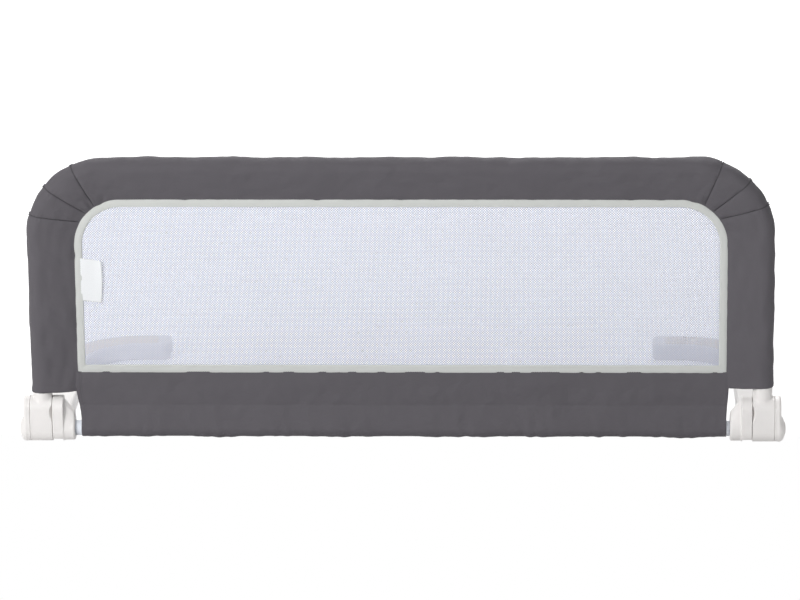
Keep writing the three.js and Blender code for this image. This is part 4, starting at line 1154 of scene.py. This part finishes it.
def path_place(s):
    """Point and outward direction on the path at a length from the right post's foot."""
    mirror = np.where(s > HALF_PATH, -1.0, 1.0)
    own = np.where(s > HALF_PATH, 2 * HALF_PATH - s, s)
    angle = np.clip((own - POST_RUN) / BEND_RADIUS, 0, math.pi / 2)
    below = np.maximum(POST_RUN - own, 0)
    beyond = np.maximum(own - POST_RUN - BEND_RUN, 0)
    x = CORNER_X + BEND_RADIUS * np.cos(angle) - beyond
    z = CORNER_Z + BEND_RADIUS * np.sin(angle) - below
    # A section runs to the same angle round a smaller corner inside the binding
    lip_x = tape_high.x - SEAM_FAN * (1 - np.cos(angle))
    lip_z = tape_high.z - SEAM_FAN * (1 - np.sin(angle))
    upright = z + (lip_z - CORNER_Z) * (1 - fade(below, 0, FAN_POST))
    level = x + (lip_x - CORNER_X) * (1 - fade(beyond, 0, FAN_TOP))
    lip_z = np.where(below > 0, upright, lip_z)
    lip_x = np.where(beyond > 0, level, lip_x)
    away = np.hypot(x - lip_x, z - lip_z)
    return mirror * x, z, mirror * (x - lip_x) / away, (z - lip_z) / away


def window_distance(x, z, inset=0.0):
    """Distance to the window's rounded outline at an inset from the binding's outer edge."""
    radius = TAPE_CORNER - inset
    across = np.abs(x) - (tape_high.x - inset - radius)
    return both(across, z - (tape_high.z - inset - radius)) - radius


def lip_distance(x, z, out_x, out_z):
    """How far inwards from the path the sleeve's edge lies, just under the binding."""
    reach = np.zeros_like(x)
    for _ in range(40):
        reach = reach + window_distance(x - reach * out_x, z - reach * out_z, LIP_TUCK)
    return reach


def sleeve_section(reach, inset):
    """Points of the section from the front lip round the tube to the rear lip.

    Each row has its own reach to the binding. Returns the distance inwards, the place along Y
    and the length round the section from its outermost point."""
    radius = SLEEVE_RADIUS - inset
    half = LIP_HALF - np.minimum(inset, LIP_HALF * 0.7)
    reach = reach[:, None]
    tangent = np.arctan2(half, reach) + np.arccos(radius / np.hypot(reach, half))
    turn = tangent + (math.pi - tangent) * np.linspace(0, 1, ROUND_COLUMNS)[None]
    round_in = radius * np.cos(turn)
    round_y = radius * np.sin(turn)
    share = np.linspace(0, 1, FLAT_COLUMNS, endpoint=False)[None]
    flat_in = reach + (round_in[:, :1] - reach) * share
    flat_y = half + (round_y[:, :1] - half) * share
    inwards = np.concatenate([flat_in, round_in], axis=1)
    width = np.concatenate([flat_y, round_y], axis=1)
    inwards = np.concatenate([inwards, inwards[:, -2::-1]], axis=1)
    front = np.concatenate([-width, width[:, -2::-1]], axis=1)
    step = np.hypot(np.diff(inwards, axis=1), np.diff(front, axis=1))
    length = np.concatenate([np.zeros((len(inwards), 1)), np.cumsum(step, axis=1)], axis=1)
    middle = length[:, length.shape[1] // 2][:, None]
    return inwards, front, length - middle


def uneven(u, v, waves):
    return sum(size * MM * ripple(u, v, seed, length * MM) for size, seed, length in waves)


def from_seam(s):
    return np.min([np.abs(s - place) for place in SEAM_PLACES], axis=0)


def sleeve_rise(s, t, reach_share):
    """How far the cloth stands off its plain section: unevenness, gathers and seams."""
    rise = PUFF * np.sin(math.pi * np.clip(reach_share, 0, 1))
    rise = rise + uneven(s, t, SLEEVE_WAVES) + uneven(0.35 * s, t, SLEEVE_CREASES)
    gather = fade(reach_share, 0.55, 1.0)
    own = np.minimum(s, 2 * HALF_PATH - s)
    corner = bell(own - POST_RUN - 0.5 * BEND_RUN, 90 * MM)
    rise = rise + (0.25 + 0.5 * corner) * MM * gather * ripple(s, 0 * t, 13, 22 * MM)
    seam = from_seam(s)
    low = np.where(s < HALF_PATH, RIGHT_PLACES[0], 2 * HALF_PATH - LEFT_PLACES[0])
    high = np.where(s < HALF_PATH, RIGHT_PLACES[2], 2 * HALF_PATH - LEFT_PLACES[2])
    between = fade(own, low - 3 * MM, low) * (1 - fade(own, high, high + 3 * MM))
    rise = rise + between * CORNER_PUFF * (1 - bell(seam, 11 * MM))
    tight = fade(own, low - 8 * MM, low + 4 * MM) * (1 - fade(own, high - 4 * MM, high + 20 * MM))
    rise = rise - CORNER_PULL * tight * (1 - fade(reach_share, 0, 0.3))
    rise = rise - sum(depth * bell(seam, width) for depth, width in SEAM_DENTS)
    pucker = np.sin(2 * math.pi * t / PUCKER_PITCH) * bell(seam - 3 * MM, 3 * MM)
    rise = rise + PUCKER * pucker
    slack = -SLEEVE_SLACK - 2 * MM * fade(reach_share, 0.3, 0.5)
    nib = bell(t, 5 * MM) * bell(seam - 1.2 * MM, 0.9 * MM)
    return np.maximum(rise, slack) + NIB * nib


def sleeve_rows(start, end):
    """Places along the path, closer together near the seams."""
    places = np.linspace(start, end, max(int((end - start) / ROW_STEP), 2) + 1)
    offsets = np.array([side * offset * MM for side in (-1, 1) for offset in SEAM_ROWS])
    extra = np.add.outer(SEAM_PLACES, offsets).ravel()
    inside = extra[(extra > start) & (extra < end)]
    return np.unique(np.round(np.concatenate([places, inside]), 7))


def sleeve_points(s, inset):
    """The plain sleeve: its points, the length round its section and the share of its reach."""
    x, z, out_x, out_z = path_place(s)
    reach = lip_distance(x, z, out_x, out_z)
    inwards, front, t = sleeve_section(reach, inset[:, None])
    points = np.stack([
        x[:, None] - inwards * out_x[:, None],
        HINGE_Y + front,
        z[:, None] - inwards * out_z[:, None],
    ], axis=2)
    return points, t, np.clip(inwards / reach[:, None], 0, 1)


# How a sleeve's cloth ends: steps along the path and inwards, from the hidden edge out
END_CLEAR = 0.45 * MM  # from a piece's end to its first plain row
SEAM_STEPS = (np.array([0, 0, 0.03, 0.12, 0.3]) * MM, np.array([0.85, 0.5, 0.25, 0.08, 0]) * MM)
HEM_STEPS = (
    np.array([3.0, 1.0, 0.25, 0, 0.12, 0.4]) * MM,
    np.array([1.5, 1.4, 1.15, 0.75, 0.3, 0.05]) * MM,
)


def add_sleeve_piece(name, node, start, end, hem_at=None, tilt=0.0):
    first = HEM_STEPS if hem_at == start else SEAM_STEPS
    last = HEM_STEPS if hem_at == end else SEAM_STEPS
    inner = sleeve_rows(start, end)
    inner = inner[(inner > start + END_CLEAR) & (inner < end - END_CLEAR)]
    s = np.concatenate([start + first[0], inner, end - last[0][::-1]])
    inset = np.concatenate([first[1], 0 * inner, last[1][::-1]])
    points, t, reach_share = sleeve_points(s, inset)
    long = np.broadcast_to(s[:, None], t.shape)
    rise = sleeve_rise(long, t, reach_share)
    if hem_at is not None:
        above = np.abs(long - hem_at)
        hem = 1 - fade(above, HEM_WIDTH - 0.6 * MM, HEM_WIDTH + 0.4 * MM)
        rise = rise + 0.45 * MM * hem - 0.6 * MM * bell(above - HEM_WIDTH + 1.3 * MM, 0.7 * MM)
        rise = rise * fade(above + 1 * MM, 0, 2 * MM)
        points[..., 2] += tilt * (1 - reach_share) * (1 - fade(above, 0, 60 * MM))
    held = 1 - fade(reach_share, 0.86, 0.98)
    step = 0.2 * MM
    near = np.stack([sleeve_points(s + shift, 0 * inset)[0] for shift in (-step, 0, step)])
    normal = np.cross(np.gradient(near[1], axis=1), near[2] - near[0])
    normal /= np.maximum(np.linalg.norm(normal, axis=2, keepdims=True), 1e-12)
    outwards = np.sign((normal[..., 1] * (points[..., 1] - HINGE_Y)).sum())
    points = points + normal * outwards * (rise * held)[..., None]
    faces = grid_faces(*t.shape)
    if outwards < 0:
        faces = faces[:, ::-1]
    # The third value is painted shade along each seam's crease, which darkens the fabric's colour
    # there.
    cloth = (long, t, MM * bell(from_seam(long), 0.8 * MM))
    piece = add_piece(name, points, faces, "grey_fabric", "guard", [node], cloth)
    thicken(piece, CLOTH_THICKNESS)
    hem = HEM_WIDTH if hem_at is not None else 0


def add_sleeve():
    low, mid, high = RIGHT_PLACES
    left_low, left_mid, left_high = LEFT_PLACES
    add_sleeve_piece(
        "right_post_cover", "right_post_sleeve", RIGHT_HEM, low, RIGHT_HEM, RIGHT_TILT
    )
    add_sleeve_piece("right_lower_gore_cover", "right_lower_gore", low, mid)
    add_sleeve_piece("right_upper_gore_cover", "right_upper_gore", mid, high)
    add_sleeve_piece("top_cover", "top_sleeve", high, left_high)
    add_sleeve_piece("left_upper_gore_cover", "left_upper_gore", left_high, left_mid)
    add_sleeve_piece("left_lower_gore_cover", "left_lower_gore", left_mid, left_low)
    foot = 2 * HALF_PATH - LEFT_HEM
    add_sleeve_piece("left_post_cover", "left_post_sleeve", left_low, foot, foot, 0)


# Lower panel: front layer down, round the lower tube and up the back
def add_panel():
    top = tape_low.z + LIP_TUCK
    lean = math.asin((LOOP_RADIUS - PANEL_HALF) / (PANEL_HEM_Z - AXIS_Z))
    straight, slope = (np.linspace(0, 1, rows, endpoint=False) for rows in PANEL_ROWS[:2])
    start = np.array([-LOOP_RADIUS * math.cos(lean), AXIS_Z + LOOP_RADIUS * math.sin(lean)])
    fork = np.array([-PANEL_HALF, PANEL_HEM_Z])
    upper = np.array([-PANEL_HALF, top])
    first = upper + (fork - upper) * straight[:, None]
    second = fork + (start - fork) * slope[:, None]
    turn = np.linspace(math.pi - lean, 2 * math.pi + lean, PANEL_ROWS[2])
    loop = np.stack([LOOP_RADIUS * np.cos(turn), AXIS_Z + LOOP_RADIUS * np.sin(turn)], axis=1)
    half = np.concatenate([first, second])
    back = half[::-1] * (-1, 1)
    profile = np.concatenate([half, loop, back])
    step = np.hypot(*np.diff(profile, axis=0).T)
    t = np.concatenate([[0], np.cumsum(step)])
    t = t - t.mean()
    inner = np.linspace(-1, 1, PANEL_COLUMNS)
    edges = np.array(EDGE_COLUMNS) * MM / panel_high.x
    share = np.unique(np.concatenate([inner, -1 + edges, 1 - edges]))
    height = profile[:, 1]
    draw = 1 - fade(height, PANEL_TAPER_Z, SLEEVE_BOTTOM + 5 * MM)
    tapers = np.where(share < 0, PANEL_TAPERS[0], PANEL_TAPERS[1])
    half_width = tape_high.x + PANEL_EASE - draw[:, None] * tapers[None]
    x = share[None] * half_width
    y = np.broadcast_to(profile[:, :1], x.shape)
    z = np.broadcast_to(profile[:, 1:], x.shape)
    points = np.stack([x, HINGE_Y + y, z], axis=2)
    tt = np.broadcast_to(t[:, None], x.shape)
    hang = 1 - fade(z, 80 * MM, top)
    low = 1 - fade(z, 12 * MM, 46 * MM)
    rise = uneven(x, tt, PANEL_WAVES) + uneven(x, 0.2 * tt, PANEL_GATHERS) * low
    rise = rise * (0.3 + 0.7 * hang)
    rise = rise - 0.25 * MM * bell(z - PANEL_HEM_Z, 1.5 * MM)
    edge = half_width - np.abs(x)
    hem = 1 - fade(edge, SIDE_HEM - 0.5 * MM, SIDE_HEM + 0.4 * MM)
    rise = rise + 0.4 * MM * hem - 0.45 * MM * bell(edge - SIDE_HEM + 1.4 * MM, 0.7 * MM)
    rise = rise - 0.7 * MM * bell(edge, 0.8 * MM)
    slack = LOOP_RADIUS - LOWER_TUBE_RADIUS - CLOTH_THICKNESS - TUBE_CLEARANCE
    rise = np.where(z < AXIS_Z + LOOP_RADIUS, np.maximum(rise, -slack), rise)
    normal = grid_normals(points)
    outwards = -1 if normal[len(profile) // 2, points.shape[1] // 2, 2] > 0 else 1
    points = points + normal * outwards * rise[..., None]
    points[..., 2] = np.maximum(points[..., 2], panel_low.z - 1 * MM)
    faces = grid_faces(*x.shape)
    if outwards < 0:
        faces = faces[:, ::-1]
    piece = add_piece(
        "panel_cover", points, faces, "grey_fabric", "guard", ["lower_panel"], (x, tt)
    )
    thicken(piece, CLOTH_THICKNESS)


# Window: net, binding, stitches and label
def window_outline(inset, step=4 * MM):
    """Closed outline at an inset from the binding's outer edge, mitred at the lower corners.

    The count of points is the same at every inset."""
    half = tape_high.x - inset
    top = tape_high.z - inset
    bottom = tape_low.z + inset
    radius = TAPE_CORNER - inset
    long_count = int(2 * tape_high.x / step)
    side_count = int((tape_high.z - tape_low.z) / step)
    arc_count = 24
    run = np.linspace(-1, 1, long_count, endpoint=False)
    rise = np.linspace(0, 1, side_count, endpoint=False)
    turn = np.linspace(0, math.pi / 2, arc_count, endpoint=False)
    side_height = top - radius - bottom
    flat = half - radius
    parts = [
        (run * half, np.full(long_count, bottom)),
        (np.full(side_count, half), bottom + rise * side_height),
        (flat + radius * np.cos(turn), top - radius + radius * np.sin(turn)),
        (-run * flat, np.full(long_count, top)),
        (-flat - radius * np.sin(turn), top - radius + radius * np.cos(turn)),
        (np.full(side_count, -half), top - radius - rise * side_height),
    ]
    return np.concatenate([np.stack(part, axis=1) for part in parts])


def outline_lengths(line):
    closed = np.concatenate([line, line[:1]])
    return np.concatenate([[0], np.cumsum(np.hypot(*np.diff(closed, axis=0).T))])


def add_binding():
    turn = circle(TAPE_SIDES)
    across = np.sign(np.cos(turn)) * np.abs(np.cos(turn)) ** TAPE_SQUARENESS
    depth = np.sign(np.sin(turn)) * np.abs(np.sin(turn)) ** TAPE_SQUARENESS
    insets = TAPE_WIDTH / 2 * (1 - across)
    lines = np.stack([window_outline(inset) for inset in insets])
    middle = window_outline(TAPE_WIDTH / 2)
    s = outline_lengths(middle)[:-1]
    girth = np.arange(TAPE_SIDES) * MM
    long, wide, girth = np.broadcast_arrays(s[None], insets[:, None], girth[:, None])
    thick = TAPE_HALF * (1 + 0.10 * ripple(long, wide, 31, 28 * MM))
    groove = GROOVE_DEPTH * sum(bell(insets - inset, width) for inset, _, width in STITCH_LINES)
    y = depth[:, None] * thick - np.sign(depth)[:, None] * groove[:, None]
    points = np.stack([lines[..., 0], HINGE_Y + y, lines[..., 1]], axis=2)
    faces = grid_faces(*long.shape, wrap_rows=True, wrap_columns=True)[:, ::-1]
    add_piece(
        "binding_tape", points, faces, "grey_tape", "guard", ["net_binding"], (long, girth)
    )


def add_stitches():
    """Thread stitches near both edges of the tape, on its front and back."""
    turn = circle(STITCH_SIDES)
    along = np.array([-1, -0.8, 0, 0.8, 1])[:, None] * STITCH_HALF
    width = np.array([0.25, 0.8, 1, 0.8, 0.25])[:, None] * THREAD_RADIUS
    sink = np.array([-0.5, -0.1, 0, -0.1, -0.5])[:, None] * THREAD_RADIUS
    offset = width * np.cos(turn)
    out = width * np.sin(turn) + sink
    points = []
    faces = []
    for inset, depth, _ in STITCH_LINES:
        line = window_outline(inset)
        lengths = outline_lengths(line)
        closed = np.concatenate([line, line[:1]])
        count = int(lengths[-1] / STITCH_PITCH)
        at = (np.arange(count) + 0.5) * lengths[-1] / count
        place, ahead = (
            np.stack([np.interp(where, lengths, closed[:, axis]) for axis in (0, 1)], axis=1)
            for where in (at, at + 0.5 * MM)
        )
        ahead = ahead - place
        ahead /= np.maximum(np.linalg.norm(ahead, axis=1, keepdims=True), 1e-9)
        for face_side in (-1, 1):
            for (px, pz), (dx, dz) in zip(place, ahead):
                start = len(points) * offset.size
                y = HINGE_Y + face_side * (TAPE_HALF - depth + out)
                stitch = [px + along * dx - offset * dz, y, pz + along * dz + offset * dx]
                points.append(np.stack(stitch, axis=2).reshape(-1, 3))
                faces.extend(capped_faces(*offset.shape, start, flip=face_side > 0))
    points = np.concatenate(points)
    add_piece("binding_stitches", points, faces, "grey_tape", "guard", (), points.T[[0, 2]])


def net_strands(slant):
    """Ends of the straight strands of one family, which run up to one side."""
    grip = TAPE_WIDTH - NET_GRIP
    way = np.array([1, slant]) / math.sqrt(2)
    normal = np.array([-slant, 1]) / math.sqrt(2)
    middle = np.array([0, (tape_low.z + tape_high.z) / 2])
    reach = tape_high.x + tape_high.z
    places = np.arange(-int(reach / NET_PITCH), int(reach / NET_PITCH) + 1) * NET_PITCH
    run = np.arange(-reach, reach, 0.4 * MM)
    strands = []
    for place in places:
        line = middle + normal * place + way * run[:, None]
        inside = window_distance(line[:, 0], line[:, 1], grip) < 0
        inside &= line[:, 1] > tape_low.z + grip
        if inside.sum() > 8:
            strands.append((line[inside][0], line[inside][-1]))
    return strands, normal


def add_net():
    turn = circle(STRAND_SIDES)
    wide = STRAND_WIDTH / 2 * np.cos(turn)
    deep = STRAND_THICKNESS / 2 * np.sin(turn) * 1.15
    points = []
    cloth = []
    faces = []
    total = 0
    for slant, offset in ((1, -STRAND_OFFSET), (-1, STRAND_OFFSET)):
        strands, normal = net_strands(slant)
        for first, last in strands:
            length = np.hypot(*(last - first))
            rows = max(int(length / STRAND_STEP), 1) + 1
            line = np.linspace(first, last, rows)
            sway = uneven(line[:, 0], line[:, 1], NET_SWAY)
            x, z = (line[:, axis, None] + wide * normal[axis] for axis in (0, 1))
            y = HINGE_Y + offset + sway[:, None] + deep
            points.append(np.stack([x, y, z], axis=2).reshape(-1, 3))
            along = np.linspace(0, length, rows)
            cloth.append(np.stack([np.repeat(along, STRAND_SIDES), np.tile(wide, rows)], axis=1))
            faces.extend(capped_faces(rows, STRAND_SIDES, total, flip=True))
            total += rows * STRAND_SIDES
    piece = add_piece(
        "net_mesh", np.concatenate(points), faces, "white_net", "guard", ["net_window"],
        np.concatenate(cloth).T,
    )


def add_label():
    width = label_high.x - label_low.x + LABEL_TUCK
    height = label_high.z - label_low.z
    u, v = np.meshgrid(np.linspace(0, 1, LABEL_COLUMNS), np.linspace(0, 1, LABEL_ROWS))
    droop = LABEL_DROOP * u**1.6 * (0.75 + 0.25 * v)
    bulge = LABEL_BULGE * u**2 * np.sin(math.pi * v) - LABEL_LEAN * u * (1 - v)
    x = label_low.x - LABEL_TUCK + width * u + bulge
    z = label_low.z + height * v - droop
    lift = LABEL_LIFT * u**2 * (0.5 + 0.9 * v) + LABEL_WAVE * np.sin(2 * math.pi * u) * v
    points = np.stack([x, label_low.y - lift, z], axis=2)
    faces = grid_faces(*u.shape)
    cloth = (u * width, v * height)
    piece = add_piece("side_tag", points, faces, "white_tape", "guard", ["side_label"], cloth)
    thicken(piece, LABEL_THICKNESS, 0)


# Inner pieces keep their solids and get their finish
def dress_inner_pieces():
    plain = {"lock_gear": "lock_plastic", "hinge_bolt": "zinc_steel",
             "hinge_washer": "zinc_steel", "hinge_nut": "zinc_steel"}
    for side, _ in SIDES:
        for name, look in plain.items():
            node = frame["nodes"][f"{side}_{name}"]
            node.data.materials.clear()
            node.data.materials.append(looks[look])
            node.modifiers.new("corners", "WELD")
            bevel = node.modifiers.new("edges", "BEVEL")
            bevel.width = 0.2 * MM
            bevel.segments = 2


# Floor, light and background
FLOOR_GLOW = 0.60
FAR_GLOW = 0.82  # of the floor away from the lamps, so that it meets the background in white
FLOOR_NEAR = 1.0
FLOOR_FAR = 4.0
FLOOR_SIZE = 30
FLOOR_EDGE = HINGE_Y + 22 * MM  # the folded guard hangs in front of it, as beside a bed base
AMBIENT = 0.26
GUARD_MIDDLE = (0.0, HINGE_Y, 0.2)
LAMPS = (  # name, place, target, size and power
    ("key", (-2.6, -3.9, 2.8), GUARD_MIDDLE, 2.1, 172),
    ("fill", (2.8, -3.0, 1.6), GUARD_MIDDLE, 2.2, 3),
    ("back", (0.3, 2.6, 3.4), (0.0, 0.0, 0.1), 2.5, 105),
)


def floor_plane(name, low_y, high_y, look):
    mesh = bpy.data.meshes.new(name)
    mesh.from_pydata(
        [
            (-FLOOR_SIZE, low_y, 0), (FLOOR_SIZE, low_y, 0),
            (FLOOR_SIZE, high_y, 0), (-FLOOR_SIZE, high_y, 0),
        ],
        [], [(0, 1, 2, 3)],
    )
    mesh.materials.append(look)
    plane = bpy.data.objects.new(name, mesh)
    bpy.context.collection.objects.link(plane)
    return plane


def add_floor():
    finish = Finish("floor", (0, 0, 0), 0.9, specular=0.0)
    finish.shader.inputs["Base Color"].default_value = (0.8, 0.8, 0.8, 1)
    finish.shader.inputs["Emission Color"].default_value = (1, 1, 1, 1)
    distance = finish.node("ShaderNodeVectorMath", operation="LENGTH")
    finish.link(finish.place(), distance.inputs[0])
    level = finish.spread(
        distance.outputs["Value"], FLOOR_GLOW, FAR_GLOW, FLOOR_NEAR, FLOOR_FAR
    )
    glow = finish.math("MULTIPLY", finish.seen_directly(), level)
    finish.link(glow, finish.shader.inputs["Emission Strength"])
    floor_plane("floor", FLOOR_EDGE, FLOOR_SIZE, finish.material)
    front = floor_plane("front_floor", -FLOOR_SIZE, FLOOR_EDGE, finish.material)
    front.visible_camera = False
    front.visible_shadow = False


def add_world():
    world = bpy.data.worlds.new("studio")
    world.use_nodes = True
    nodes = Nodes(world.node_tree)
    background = world.node_tree.nodes["Background"].inputs
    background["Color"].default_value = (1, 1, 1, 1)
    nodes.link(nodes.spread(nodes.seen_directly(), AMBIENT, 1.0), background["Strength"])
    bpy.context.scene.world = world


def add_lamp(name, place, target, size, power):
    data = bpy.data.lights.new(name, "AREA")
    data.shape = "SQUARE"
    data.size = size
    data.energy = power
    lamp = bpy.data.objects.new(name, data)
    lamp.location = place
    aim = Vector(target) - Vector(place)
    lamp.rotation_euler = aim.to_track_quat("-Z", "Y").to_euler()
    bpy.context.collection.objects.link(lamp)


add_camera()
add_floor()
add_world()
for lamp in LAMPS:
    add_lamp(*lamp)
add_plastics()
add_tubes()
add_springs()
add_screws()
add_sleeve()
add_panel()
add_net()
add_binding()
add_stitches()
add_label()
dress_inner_pieces()
bpy.context.scene.view_settings.view_transform = "Standard"
